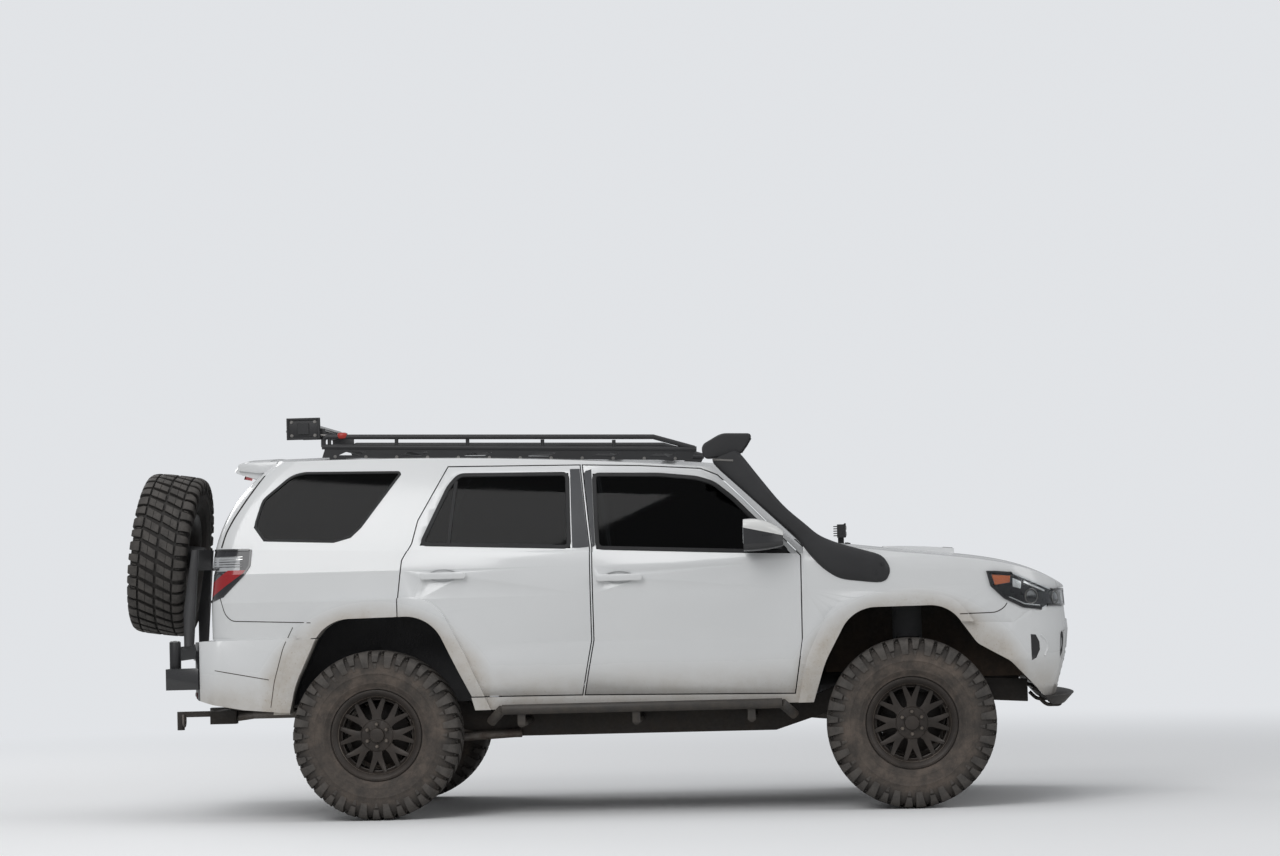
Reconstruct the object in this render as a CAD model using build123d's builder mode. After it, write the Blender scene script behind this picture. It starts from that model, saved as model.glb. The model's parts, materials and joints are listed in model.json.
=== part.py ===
from build123d import *
import os
from math import radians, sin, cos, pi

os.makedirs("parts", exist_ok=True)

# A lifted four-door off-road estate on a ladder frame, with a spare wheel on a swing-out carrier,
# a roof rack, a raised air intake and rock sliders.
# Millimetres, +X forward, +Y left, +Z up. The origin is on the ground, at the middle of the
# whole length and width. Side-view outlines are lists of (x from an axle, height).

# Running gear
wheelbase = 2790
rear_axle_x = -1118
tyre_radius = 442
tyre_width = 314
bead_radius = 216
rim_radius = 237
rim_width = 238
wheel_y = 825
axle_z = tyre_radius
kingpin_y = 700
steering_arm = 130

# Body shell
door_thickness = 110
frame_thickness = 50
fender_thickness = 25
bonnet_thickness = 28
shut_gap = 6
jamb_depth = 35
jamb_step = 12
glass_thickness = 5
glass_recess = 6
bumper_thickness = 60
lamp_depth = 70
flare_height = 32
crown_half_width = 1000
bonnet_crown = 30
roof_crown = 80
roof_half_width = 575
roof_skin = 45
body_bottom = 560
belt_rear_z = 1438
belt_front_z = 1334
hood_half_width = 715
gate_bottom = 990
hood_front_z = 1122
door_inner_y = 600

ra = rear_axle_x
fa = rear_axle_x + wheelbase

# Lower body: height, nose from front axle, tail from rear axle, half width
lower_table = [
    (body_bottom, 800, -860, 880),
    (760, 858, -903, 926),
    (900, 872, -908, 922),
    (1150, 852, -908, 934),
    (1300, 806, -895, 922),
    (1440, 700, -862, 888),
]
nose_bow = 115
tail_bow = 45
front_corner_radius = 330
rear_corner_radius = 150

# Cabin above the belt: height, windscreen from front axle, tail from rear axle, half width
upper_table = [
    (1330, -380, -905, 888),
    (1520, -581, -868, 834),
    (1700, -772, -778, 757),
    (1990, -1080, -420, 610),
]
screen_bow = 150
gate_bow = 45
screen_corner_radius = 90
gate_corner_radius = 130

# Bonnet line: distance from front axle, height at the middle
bonnet_table = [
    (-800, 1396),
    (-200, 1372),
    (300, 1316),
    (690, 1222),
    (870, 1108),
]
# Roof line: distance from rear axle, height at the middle
roof_table = [
    (-1000, 1908),
    (0, 1930),
    (1000, 1899),
    (1800, 1840),
    (2400, 1770),
]

# Side-view outlines from the rear axle: (x, z)
rear_door_outline = [
    (562, 626), (1084, 623), (1140, 911), (1138, 1385), (1086, 1836),
    (380, 1846), (226, 1560), (196, 1440), (146, 1353), (122, 1145), (122, 1040),
    (262, 1012), (352, 925), (500, 626),
]
front_door_outline = [
    (1090, 623), (2193, 605), (2237, 884), (2240, 1326), (2060, 1512),
    (1905, 1672), (1810, 1764), (1720, 1800), (1400, 1824), (1092, 1836),
    (1144, 1385), (1146, 911),
]
rear_glass_outline = [(240, 1427), (385, 1740), (440, 1800), (1022, 1792), (1034, 1392)]
front_glass_outline = [(1150, 1784), (1500, 1774), (1700, 1752), (1790, 1722), (1890, 1640),
                       (2186, 1336), (1170, 1384)]
quarter_glass_outline = [
    (-640, 1545), (-585, 1470), (-214, 1453), (-124, 1477), (-70, 1528), (133, 1807), (123, 1823),
    (-392, 1832), (-456, 1813), (-600, 1690),
]
tail_lamp_outline = [
    (-1000, 1431), (-646, 1427), (-653, 1343), (-681, 1301), (-794, 1188), (-928, 1139), (-1000, 1139),
]
rear_bumper_line = [(-1100, 962), (-560, 955), (-150, 960), (-150, 400), (-1100, 400)]
# Wheel arches and their flares: x and z of each corner, and its radius
rear_arch_table = [
    (-490, 400, 0), (-425, 700, 500), (-262, 1052, 210), (296, 1060, 210), (500, 631, 0), (560, 400, 0),
]
rear_flare_table = [
    (-560, 500, 0), (-452, 880, 300), (-302, 1156, 200), (318, 1156, 200), (475, 850, 500), (600, 560, 0),
    (600, 400, 0), (-560, 400, 0),
]

# Side-view outlines from the front axle
front_arch_table = [
    (-530, 400, 0), (-530, 480, 0), (-440, 770, 500), (-290, 1046, 200), (205, 1050, 190), (352, 845, 90),
    (520, 750, 120), (672, 591, 0), (745, 510, 0), (745, 400, 0),
]
front_flare_table = [
    (-600, 400, 0), (-600, 480, 60), (-540, 780, 400), (-395, 1085, 210), (-60, 1128, 500),
    (245, 1090, 190),
    (352, 935, 0), (352, 400, 0),
]
headlamp_outline = [
    (410, 1216), (535, 1203), (740, 1112), (900, 1112), (900, 1030), (717, 1034), (685, 1017),
    (592, 1030),
    (495, 1079), (429, 1144),
]
bumper_outline = [
    (262, 962), (539, 949), (607, 999), (640, 1020), (690, 1008), (720, 1026), (900, 1022), (900, 480),
    (500, 480), (262, 800),
]


def shifted(outline, datum):
    """Outline points measured from an axle, in the object's frame."""
    return [(datum + x, z) for x, z in outline]


def plan_outline(front_x, rear_x, half_width, front_bow, rear_bow, front_radius, rear_radius):
    """A body's outline seen from above, with bowed ends and rounded corners."""
    with BuildSketch() as outline:
        with BuildLine():
            ThreePointArc(
                (front_x - front_bow, -half_width),
                (front_x, 0),
                (front_x - front_bow, half_width),
            )
            Line((front_x - front_bow, half_width), (rear_x + rear_bow, half_width))
            ThreePointArc(
                (rear_x + rear_bow, half_width),
                (rear_x, 0),
                (rear_x + rear_bow, -half_width),
            )
            Line((rear_x + rear_bow, -half_width), (front_x - front_bow, -half_width))
        make_face()
        fillet(outline.vertices().group_by(Axis.X)[-1], front_radius)
        fillet(outline.vertices().group_by(Axis.X)[0], rear_radius)
    return outline.sketch


def lower_body(inset):
    """The whole body below the belt, drawn in by inset all round."""
    with BuildPart() as body:
        for height, nose, tail, half_width in lower_table:
            with BuildSketch(Plane.XY.offset(height)):
                add(
                    plan_outline(
                        fa + nose - inset,
                        ra + tail + inset,
                        half_width - inset,
                        nose_bow,
                        tail_bow,
                        front_corner_radius - inset,
                        max(rear_corner_radius - inset, 30),
                    )
                )
        loft(ruled=True)
    return body.part


def upper_body(inset):
    """The whole cabin above the belt, drawn in by inset all round."""
    with BuildPart() as body:
        for height, screen, tail, half_width in upper_table:
            with BuildSketch(Plane.XY.offset(height)):
                add(
                    plan_outline(
                        fa + screen - inset * 1.4,
                        ra + tail + inset * 1.2,
                        half_width - inset,
                        screen_bow,
                        gate_bow,
                        screen_corner_radius - inset / 2,
                        gate_corner_radius - inset / 2,
                    )
                )
        loft()
    return body.part


def crowned_block(table, datum, crown, drop):
    """Everything under a crowned surface that follows a line of heights, lowered by drop."""
    with BuildPart() as block:
        for distance, height in table:
            with BuildSketch(Plane.YZ.offset(datum + distance)):
                with BuildLine():
                    ThreePointArc(
                        (-crown_half_width, height - crown - drop),
                        (0, height - drop),
                        (crown_half_width, height - crown - drop),
                    )
                    Polyline(
                        (crown_half_width, height - crown - drop),
                        (crown_half_width, 300),
                        (-crown_half_width, 300),
                        (-crown_half_width, height - crown - drop),
                    )
                make_face()
        loft()
        add(box_between((datum, -crown_half_width, 300), (datum + 1000, crown_half_width, hood_front_z)))
    return block.part


def side_block(outline, y_low, y_high, spread=0.0, corner=0.0):
    """A block with a side-view outline between two widths, its outline grown by spread."""
    with BuildPart() as block:
        with BuildSketch(Plane.XZ.offset(-y_high)) as face:
            with BuildLine():
                Polyline(*outline, close=True)
            make_face()
            if spread:
                offset(amount=spread, kind=Kind.INTERSECTION)
            if corner:
                fillet(face.vertices().sort_by(Axis.Y)[-2:], corner)
        extrude(amount=y_high - y_low)
    return block.part


def arched_block(table, datum, y_low, y_high, spread=0.0):
    """A block with a wheel arch's side-view outline, each corner rounded by its own radius."""
    with BuildPart() as block:
        with BuildSketch(Plane.XZ.offset(-y_high)) as face:
            with BuildLine():
                Polyline(*[(datum + x, z) for x, z, _ in table], close=True)
            make_face()
            for x, z, radius in table:
                if radius:
                    fillet(face.vertices().sort_by_distance((datum + x, z))[0], radius)
            if spread:
                offset(amount=spread, kind=Kind.INTERSECTION)
        extrude(amount=y_high - y_low)
    return block.part


def box_between(low, high):
    """A box between two opposite corners."""
    with BuildPart() as block:
        with BuildSketch(Plane.XY.offset(low[2])):
            with Locations(((low[0] + high[0]) / 2, (low[1] + high[1]) / 2)):
                Rectangle(high[0] - low[0], high[1] - low[1])
        extrude(amount=high[2] - low[2])
    return block.part

wide = 1150
far = 3000

# The shell's outer and inner shapes
belt_block = [
    (ra - 1300, 300), (ra - 1300, belt_rear_z + 10), (ra - 1000, belt_rear_z),
    (fa - 540, belt_front_z), (fa - 540, 300),
]
windscreen_base_z = 1352
pillar_front_x = fa - 460
cabin_floor_z = 600
floor_sheet = 16
cargo_floor_z = 868
tunnel_half_width = 165
tunnel_top_z = 775
tunnel_rear_x = ra + 1180
wheelhouse_y = 600


def flared_side(inset):
    """The lower body with its wheel arch flares standing out of it."""
    with BuildPart() as side:
        add(lower_body(inset))
        for table, datum in ((rear_flare_table, ra), (front_flare_table, fa)):
            with BuildPart(mode=Mode.PRIVATE) as flare:
                add(lower_body(inset - flare_height))
                add(arched_block(table, datum, -wide, wide), mode=Mode.INTERSECT)
            add(flare.part)
    return side.part

with BuildPart() as under_belt:
    add(flared_side(0))
    add(side_block(belt_block, -wide, wide), mode=Mode.INTERSECT)

with BuildPart() as under_bonnet:
    add(flared_side(0))
    add(crowned_block(bonnet_table, fa, bonnet_crown, 0), mode=Mode.INTERSECT)
    add(box_between((fa - 540, -wide, 300), (fa + far, wide, far)), mode=Mode.INTERSECT)

with BuildPart() as bonnet_space:
    add(lower_body(fender_thickness))
    add(crowned_block(bonnet_table, fa, bonnet_crown, bonnet_thickness), mode=Mode.INTERSECT)

with BuildPart() as bonnet_shell:
    add(under_bonnet.part)
    add(bonnet_space.part, mode=Mode.SUBTRACT)

with BuildPart() as greenhouse:
    add(upper_body(0))
    add(crowned_block(roof_table, ra, roof_crown, 0), mode=Mode.INTERSECT)

with BuildPart() as cabin_space:
    add(upper_body(frame_thickness))
    add(crowned_block(roof_table, ra, roof_crown, roof_skin), mode=Mode.INTERSECT)
    with BuildPart(mode=Mode.PRIVATE) as lower_space:
        add(lower_body(door_thickness))
        add(box_between((ra - far, -wide, 300), (pillar_front_x, wide, 1400)), mode=Mode.INTERSECT)
    add(lower_space.part)

with BuildPart() as cabin_shell:
    add(under_belt.part)
    add(greenhouse.part)
    with BuildPart(mode=Mode.PRIVATE) as pillar_block:
        add(under_bonnet.part)
        add(box_between((fa - 540, -wide, 300), (pillar_front_x, wide, 1400)), mode=Mode.INTERSECT)
    add(pillar_block.part)
    add(cabin_space.part, mode=Mode.SUBTRACT)

# Openings of the shell
arch_blocks = [
    arched_block(rear_arch_table, ra, -wide, wide),
    arched_block(front_arch_table, fa, -wide, wide),
]
# Doors: name, outline, outline of the glass, middle of the handle from the rear axle and its height
door_table = [
    ("front", front_door_outline, front_glass_outline, 1288, 1234),
    ("rear", rear_door_outline, rear_glass_outline, 366, 1266),
]
handle_length = 244
handle_height = 34
handle_low_y = 915
handle_grip_y = 938
handle_high_y = 957
grip_length = 150
cup_height = 66
lamp_inner_y = 706
headlamp_inner_y = 560

windscreen_outline = [(-770, windscreen_base_z), (770, windscreen_base_z), (600, 1808), (-600, 1808)]
gate_outline = [
    (-700, gate_bottom), (700, gate_bottom), (700, 1430), (628, 2000), (-628, 2000), (-700, 1430),
]
gate_glass_outline = [(-640, 1445), (640, 1445), (560, 1800), (-560, 1800)]
gate_hinge_x = ra - 545


def facing_block(outline, x_low, x_high, spread=0.0, corner=0.0):
    """A block with an outline (y, z) seen from the front, between two places along X."""
    with BuildPart() as block:
        with BuildSketch(Plane.YZ.offset(x_low)) as face:
            with BuildLine():
                Polyline(*outline, close=True)
            make_face()
            if spread:
                offset(amount=spread, kind=Kind.INTERSECTION)
            if corner:
                fillet(face.vertices(), corner)
        extrude(amount=x_high - x_low)
    return block.part

windscreen_block = facing_block(windscreen_outline, ra + 1500, fa + far, corner=60)
gate_block = facing_block(gate_outline, ra - far, gate_hinge_x)

# The left half of the shell, with every opening but the windscreen's and the tailgate's cut
with BuildPart() as left_shell:
    add(cabin_shell.part)
    add(box_between((ra - far, 0, body_bottom), (fa + far, wide, far)), mode=Mode.INTERSECT)
    for block in arch_blocks:
        add(block, mode=Mode.SUBTRACT)

seam_block = box_between((ra - far, -roof_half_width, 1500), (fa + far, roof_half_width, far))


def save(part, name):
    """Label a finished piece and write it out."""
    part.label = name
    export_step(part, "parts/" + name + ".step")


def save_both(part, name):
    """Write a left-hand piece and its mirror image on the right."""
    save(part, name + "_left")
    with BuildPart() as other:
        add(mirror(part, about=Plane.XZ))
    save(other.part, name + "_right")

# Body side: sill, pillars, quarter panel and cant rail in one piece
with BuildPart() as body_side:
    add(left_shell.part)
    for _, outline, *_ in door_table:
        add(side_block(shifted(outline, ra), door_inner_y, wide), mode=Mode.SUBTRACT)
    add(side_block(shifted(quarter_glass_outline, ra), door_inner_y, wide), mode=Mode.SUBTRACT)
    add(side_block(shifted(rear_bumper_line, ra), 0, wide), mode=Mode.SUBTRACT)
    add(side_block(shifted(tail_lamp_outline, ra), lamp_inner_y, wide), mode=Mode.SUBTRACT)
    add(windscreen_block, mode=Mode.SUBTRACT)
    add(facing_block(gate_outline, ra - far, gate_hinge_x, shut_gap), mode=Mode.SUBTRACT)
    add(seam_block, mode=Mode.SUBTRACT)
    add(box_between((fa - 700, 0, 300), (fa + far, 785, windscreen_base_z + 60)), mode=Mode.SUBTRACT)
    add(box_between((ra - far, 0, 300), (ra + 400, lamp_inner_y, gate_bottom)), mode=Mode.SUBTRACT)
    with BuildPart(mode=Mode.PRIVATE) as wing_skin:
        add(bonnet_shell.part)
        add(box_between((fa - 553, 0, 300), (fa + far, wide, far)), mode=Mode.INTERSECT)
    add(wing_skin.part, mode=Mode.SUBTRACT)
save_both(body_side.part, "body_side")

# Doors: an outer leaf that reaches the shut lines and an inner box set in from them
with BuildPart() as skin_space:
    add(lower_body(jamb_depth))
    add(box_between((ra - far, 0, 300), (fa + far, wide, belt_front_z + 20)), mode=Mode.INTERSECT)
for name, outline, glass_outline, handle_x, handle_z in door_table:
    with BuildPart() as door:
        add(left_shell.part)
        add(side_block(shifted(outline, ra), door_inner_y, wide, -shut_gap), mode=Mode.INTERSECT)
        with BuildPart(mode=Mode.PRIVATE) as rim:
            add(side_block(shifted(outline, ra), 0, wide, 20))
            add(side_block(shifted(outline, ra), 0, wide, -shut_gap - jamb_step), mode=Mode.SUBTRACT)
            add(skin_space.part, mode=Mode.INTERSECT)
        add(rim.part, mode=Mode.SUBTRACT)
        add(side_block(shifted(glass_outline, ra), 0, wide), mode=Mode.SUBTRACT)
        with BuildSketch(Plane.XZ.offset(-handle_low_y)):
            with Locations((ra + handle_x, handle_z)):
                SlotOverall(handle_length, handle_height)
        extrude(amount=handle_low_y - handle_high_y)
        with BuildSketch(Plane.XZ.offset(-handle_low_y)):
            with Locations((ra + handle_x, handle_z)):
                Ellipse(grip_length / 2, cup_height / 2)
        extrude(amount=handle_low_y - handle_grip_y, mode=Mode.SUBTRACT)
    save_both(door.part, "door_" + name)

with BuildPart() as glass_sheet:
    add(upper_body(glass_recess))
    add(upper_body(glass_recess + glass_thickness), mode=Mode.SUBTRACT)
for name, outline, glass_outline, *_ in door_table:
    with BuildPart() as pane:
        add(glass_sheet.part)
        add(side_block(shifted(glass_outline, ra), 300, wide), mode=Mode.INTERSECT)
    save_both(pane.part, "door_glass_" + name)

with BuildPart() as fixed_glass:
    add(glass_sheet.part)
    with BuildPart(mode=Mode.PRIVATE) as frames:
        add(side_block(shifted(quarter_glass_outline, ra), 300, wide))
        add(side_block(shifted(quarter_glass_outline, ra), -wide, -300))
        add(windscreen_block)
    add(frames.part, mode=Mode.INTERSECT)
save(fixed_glass.part, "fixed_glass")

# Roof with the header over the windscreen and the one over the tailgate
with BuildPart() as roof:
    add(greenhouse.part)
    add(cabin_space.part, mode=Mode.SUBTRACT)
    add(seam_block, mode=Mode.INTERSECT)
    add(windscreen_block, mode=Mode.SUBTRACT)
    add(facing_block(gate_outline, ra - far, gate_hinge_x, shut_gap), mode=Mode.SUBTRACT)
    add(box_between((ra - far, -wide, 300), (fa + far, wide, 1700)), mode=Mode.SUBTRACT)
save(roof.part, "roof")

# Tailgate with the spoiler that overhangs its glass
spoiler_outline = [(-545, 1960), (-690, 1960), (-755, 1880), (-750, 1852), (-640, 1838),
                   (-590, 1842), (-545, 1862)]
with BuildPart() as tailgate:
    add(cabin_shell.part)
    add(gate_block, mode=Mode.INTERSECT)
    add(facing_block(gate_glass_outline, ra - far, ra, corner=40), mode=Mode.SUBTRACT)
    with BuildPart(mode=Mode.PRIVATE) as spoiler:
        add(side_block(shifted(spoiler_outline, ra), -600, 600))
        add(crowned_block(roof_table, ra, roof_crown, 0), mode=Mode.INTERSECT)
    add(spoiler.part)
save(tailgate.part, "tailgate")
with BuildPart() as gate_glass:
    add(glass_sheet.part)
    add(facing_block(gate_glass_outline, ra - far, ra, corner=40), mode=Mode.INTERSECT)
save(gate_glass.part, "tailgate_glass")

# Bonnet lid, front wings and the cowl under the windscreen
hood_rear_x = fa - 440
hood_rear_bow = 130
# Scoop on the bonnet: distance from the front axle, height at the middle
scoop_table = [(-110, 1366), (80, 1361), (270, 1346)]
scoop_half_width = 215
scoop_depth = 90
scoop_mouth_z = 1334
with BuildPart() as hood_region:
    with BuildSketch(Plane.XY.offset(hood_front_z)):
        with BuildLine():
            ThreePointArc(
                (hood_rear_x, -hood_half_width),
                (hood_rear_x + hood_rear_bow, 0),
                (hood_rear_x, hood_half_width),
            )
            Polyline(
                (hood_rear_x, hood_half_width),
                (fa + 1000, hood_half_width),
                (fa + 1000, -hood_half_width),
                (hood_rear_x, -hood_half_width),
            )
        make_face()
    extrude(amount=400)
with BuildPart() as hood:
    add(bonnet_shell.part)
    add(hood_region.part, mode=Mode.INTERSECT)
    with BuildPart(mode=Mode.PRIVATE) as scoop:
        add(crowned_block(scoop_table, fa, bonnet_crown, 0))
        add(
            box_between(
                (fa + scoop_table[0][0], -scoop_half_width, 1310),
                (fa + scoop_table[-1][0], scoop_half_width, 1400),
            ),
            mode=Mode.INTERSECT,
        )
        add(
            box_between(
                (fa + scoop_table[-1][0] - scoop_depth, 24 - scoop_half_width, 1310),
                (fa + scoop_table[-1][0], scoop_half_width - 24, scoop_mouth_z),
            ),
            mode=Mode.SUBTRACT,
        )
        add(crowned_block(bonnet_table, fa, bonnet_crown, 4), mode=Mode.SUBTRACT)
    add(scoop.part)
save(hood.part, "hood")

with BuildPart() as front_wing:
    add(bonnet_shell.part)
    add(box_between((fa - 547, hood_half_width + shut_gap, body_bottom), (fa + far, wide, far)),
        mode=Mode.INTERSECT)
    add(side_block(shifted(front_door_outline, ra), 0, wide, shut_gap / 2), mode=Mode.SUBTRACT)
    add(arch_blocks[1], mode=Mode.SUBTRACT)
    add(side_block(shifted(headlamp_outline, fa), 300, wide), mode=Mode.SUBTRACT)
    add(side_block(shifted(bumper_outline, fa), 300, wide), mode=Mode.SUBTRACT)
    add(upper_body(0), mode=Mode.SUBTRACT)
save_both(front_wing.part, "front_wing")

# Cowl and firewall between the body sides, under the windscreen
cowl_thickness = 58
turning_room = 24
with BuildPart() as firewall:
    add(under_bonnet.part)
    add(
        box_between((fa - 520, -hood_half_width, 1150), (fa, hood_half_width, far)),
        mode=Mode.INTERSECT,
    )
    add(crowned_block(bonnet_table, fa, bonnet_crown, cowl_thickness), mode=Mode.SUBTRACT)
    with BuildSketch(Plane.XY.offset(1000)):
        with BuildLine():
            ThreePointArc(
                (hood_rear_x - 2 * shut_gap, -hood_half_width - 10),
                (hood_rear_x + hood_rear_bow - 2 * shut_gap, 0),
                (hood_rear_x - 2 * shut_gap, hood_half_width + 10),
            )
            Polyline(
                (hood_rear_x - 2 * shut_gap, hood_half_width + 10),
                (fa + 600, hood_half_width + 10),
                (fa + 600, -hood_half_width - 10),
                (hood_rear_x - 2 * shut_gap, -hood_half_width - 10),
            )
        make_face()
    extrude(amount=500, mode=Mode.SUBTRACT)
    add(upper_body(0), mode=Mode.SUBTRACT)
    with BuildPart(mode=Mode.PRIVATE) as screen_rail:
        add(upper_body(0))
        add(upper_body(frame_thickness), mode=Mode.SUBTRACT)
        add(box_between((fa - 700, -762, 1330), (fa, 762, windscreen_base_z)), mode=Mode.INTERSECT)
    add(screen_rail.part)
    add(box_between((fa - 500, -770, cabin_floor_z), (fa - 470, 770, windscreen_base_z - 2)))
    add(
        box_between((fa - 520, -tunnel_half_width, 300), (fa - 400, tunnel_half_width, tunnel_top_z)),
        mode=Mode.SUBTRACT,
    )
    for side in (1, -1):
        outboard = sorted((side * wheelhouse_y, side * wide))
        add(arched_block(front_arch_table, fa, *outboard, turning_room), mode=Mode.SUBTRACT)
save(firewall.part, "firewall")

# Front bumper cover, lamps and grille
grille_outline = [(-490, 950), (490, 950), (520, 1096), (-520, 1096)]
intake_outline = [(-430, 600), (430, 600), (480, 800), (-480, 800)]
fog_outline = [(560, 735), (705, 760), (720, 895), (600, 900)]
with BuildPart() as bumper_shell:
    add(lower_body(0))
    add(crowned_block(bonnet_table, fa, bonnet_crown, 0), mode=Mode.INTERSECT)
    add(lower_body(bumper_thickness), mode=Mode.SUBTRACT)
with BuildPart() as front_bumper:
    add(bumper_shell.part)
    with BuildPart(mode=Mode.PRIVATE) as bumper_region:
        add(side_block(shifted(bumper_outline, fa), -wide, wide))
        add(box_between((fa + 500, -560, body_bottom), (fa + 1000, 560, hood_front_z - shut_gap)))
    add(bumper_region.part, mode=Mode.INTERSECT)
    add(arch_blocks[1], mode=Mode.SUBTRACT)
    add(facing_block(grille_outline, fa + 400, fa + 1000, corner=30), mode=Mode.SUBTRACT)
    add(facing_block(intake_outline, fa + 400, fa + 1000, corner=30), mode=Mode.SUBTRACT)
    for side in (1, -1):
        mirrored = [(side * y, z) for y, z in fog_outline]
        add(facing_block(mirrored, fa + 400, fa + 1000, corner=20), mode=Mode.SUBTRACT)
    for y_low, y_high in ((headlamp_inner_y, wide), (-wide, -headlamp_inner_y)):
        add(side_block(shifted(headlamp_outline, fa), y_low, y_high), mode=Mode.SUBTRACT)
save(front_bumper.part, "front_bumper")

with BuildPart() as headlamps:
    add(lower_body(0))
    add(crowned_block(bonnet_table, fa, bonnet_crown, bonnet_thickness), mode=Mode.INTERSECT)
    add(lower_body(lamp_depth), mode=Mode.SUBTRACT)
    with BuildPart(mode=Mode.PRIVATE) as lamp_region:
        for y_low, y_high in ((headlamp_inner_y, wide), (-wide, -headlamp_inner_y)):
            add(side_block(shifted(headlamp_outline, fa), y_low, y_high))
    add(lamp_region.part, mode=Mode.INTERSECT)
save(headlamps.part, "headlamps")

# Black lip under the bumper, with the grilles
lip_low_z = 512
with BuildPart() as front_lip:
    for height, nose in ((lip_low_z, 850), (body_bottom - 0.5, 895)):
        with BuildSketch(Plane.XY.offset(height)):
            add(plan_outline(fa + nose, fa - 400, 850, 100, 10, 320, 30))
    loft()
    add(box_between((fa - 600, -wide, 400), (fa + 640, wide, 700)), mode=Mode.SUBTRACT)
    with BuildSketch(Plane.XY.offset(400)):
        add(plan_outline(fa + 760, fa - 400, 780, 100, 10, 280, 30))
    extrude(amount=body_bottom - 20 - 400, mode=Mode.SUBTRACT)
    add(arch_blocks[1], mode=Mode.SUBTRACT)
bar_table = [966, 998, 1030, 1062]
bar_height = 18
with BuildPart() as grille:
    with BuildPart(mode=Mode.PRIVATE) as sheet:
        add(lower_body(14))
        add(lower_body(46), mode=Mode.SUBTRACT)
        add(box_between((fa + 400, -wide, body_bottom), (fa + 1000, wide, hood_front_z)),
            mode=Mode.INTERSECT)
    add(sheet.part)
    with BuildPart(mode=Mode.PRIVATE) as mouths:
        add(facing_block(grille_outline, fa + 400, fa + 1000, corner=30))
        add(facing_block(intake_outline, fa + 400, fa + 1000, corner=30))
        for side in (1, -1):
            mirrored = [(side * y, z) for y, z in fog_outline]
            add(facing_block(mirrored, fa + 400, fa + 1000, corner=20))
    add(mouths.part, mode=Mode.INTERSECT)
    for z in bar_table:
        add(box_between((fa + 400, -470, z), (fa + 1000, 470, z + bar_height)), mode=Mode.SUBTRACT)
    add(front_lip.part)
save(grille.part, "grille")

with BuildPart() as tail_lamps:
    add(cabin_shell.part)
    with BuildPart(mode=Mode.PRIVATE) as lamp_region:
        for y_low, y_high in ((lamp_inner_y, wide), (-wide, -lamp_inner_y)):
            add(side_block(shifted(tail_lamp_outline, ra), y_low, y_high))
    add(lamp_region.part, mode=Mode.INTERSECT)
save(tail_lamps.part, "tail_lamps")

# Rear bumper, wrapped round to the arches, with the bearing block of the spare wheel's carrier
carrier_x = ra - 1075
carrier_y = -800
sleeve_radius = 30
carrier_low_z = 812
carrier_gap = 1
rear_step_outline = [
    (-908, 953), (-964, 948), (-962, 881), (-1014, 830), (-1012, 700), (-949, 644), (-860, 620),
    (-700, 590),
    (-385, 562), (-345, 700), (-300, 840), (-280, 953),
]
with BuildPart() as bumper_plan:
    with BuildSketch(Plane.XY.offset(500)):
        add(plan_outline(ra + 400, ra - 1014, 932, 10, 60, 50, 170))
    extrude(amount=600)
with BuildPart() as bumper_hollow:
    with BuildSketch(Plane.XY.offset(400)):
        add(plan_outline(ra + 500, ra - 880, 828, 10, 45, 50, 120))
    extrude(amount=700)
with BuildPart() as rear_bumper:
    add(side_block(shifted(rear_step_outline, ra), -wide, wide))
    add(bumper_plan.part, mode=Mode.INTERSECT)
    with BuildPart(mode=Mode.PRIVATE) as flare_tail:
        add(lower_body(-flare_height))
        add(arched_block(rear_flare_table, ra, -wide, wide), mode=Mode.INTERSECT)
        add(box_between((ra - 700, -wide, body_bottom), (ra - 150, wide, 953)), mode=Mode.INTERSECT)
    add(flare_tail.part)
    add(bumper_hollow.part, mode=Mode.SUBTRACT)
    add(arch_blocks[0], mode=Mode.SUBTRACT)
    add(
        box_between(
            (carrier_x - 42, carrier_y - 60, 700),
            (carrier_x + 130, carrier_y + 60, carrier_low_z - carrier_gap),
        )
    )
    with BuildSketch(Plane.XY.offset(carrier_low_z - carrier_gap)):
        with Locations((carrier_x, carrier_y)):
            Circle(sleeve_radius + 10)
    extrude(amount=-60)
save(rear_bumper.part, "rear_bumper")

# Cabin floor with its tunnel and the rear wheelhouses
with BuildPart() as floor:
    with BuildSketch(Plane.XZ.offset(-wide)):
        with BuildLine():
            Polyline(
                (fa - 502, cabin_floor_z), (ra + 640, cabin_floor_z),
                (ra + 560, cargo_floor_z - floor_sheet),
                (ra - 795, cargo_floor_z - floor_sheet), (ra - 795, cargo_floor_z),
                (ra + 572, cargo_floor_z),
                (ra + 652, cabin_floor_z + floor_sheet), (fa - 502, cabin_floor_z + floor_sheet),
                close=True,
            )
        make_face()
    extrude(amount=2 * wide)
    add(box_between((tunnel_rear_x, -tunnel_half_width, cabin_floor_z),
                    (fa - 502, tunnel_half_width, tunnel_top_z)))
    for side in (1, -1):
        outboard = sorted((side * wheelhouse_y, side * wide))
        with BuildPart(mode=Mode.PRIVATE) as wheelhouse:
            add(arched_block(rear_arch_table, ra, *outboard, 30))
            add(box_between((ra - 700, -wide, cabin_floor_z), (ra + 700, wide, 1200)),
                mode=Mode.INTERSECT)
        add(wheelhouse.part)
    add(lower_body(door_thickness + 0.2), mode=Mode.INTERSECT)
    for side in (1, -1):
        outboard = sorted((side * (wheelhouse_y + floor_sheet), side * wide))
        add(arched_block(rear_arch_table, ra, *outboard, 14), mode=Mode.SUBTRACT)
    add(
        box_between(
            (tunnel_rear_x + floor_sheet, floor_sheet - tunnel_half_width, 300),
            (fa, tunnel_half_width - floor_sheet, tunnel_top_z - floor_sheet),
        ),
        mode=Mode.SUBTRACT,
    )
save(floor.part, "floor")

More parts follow.
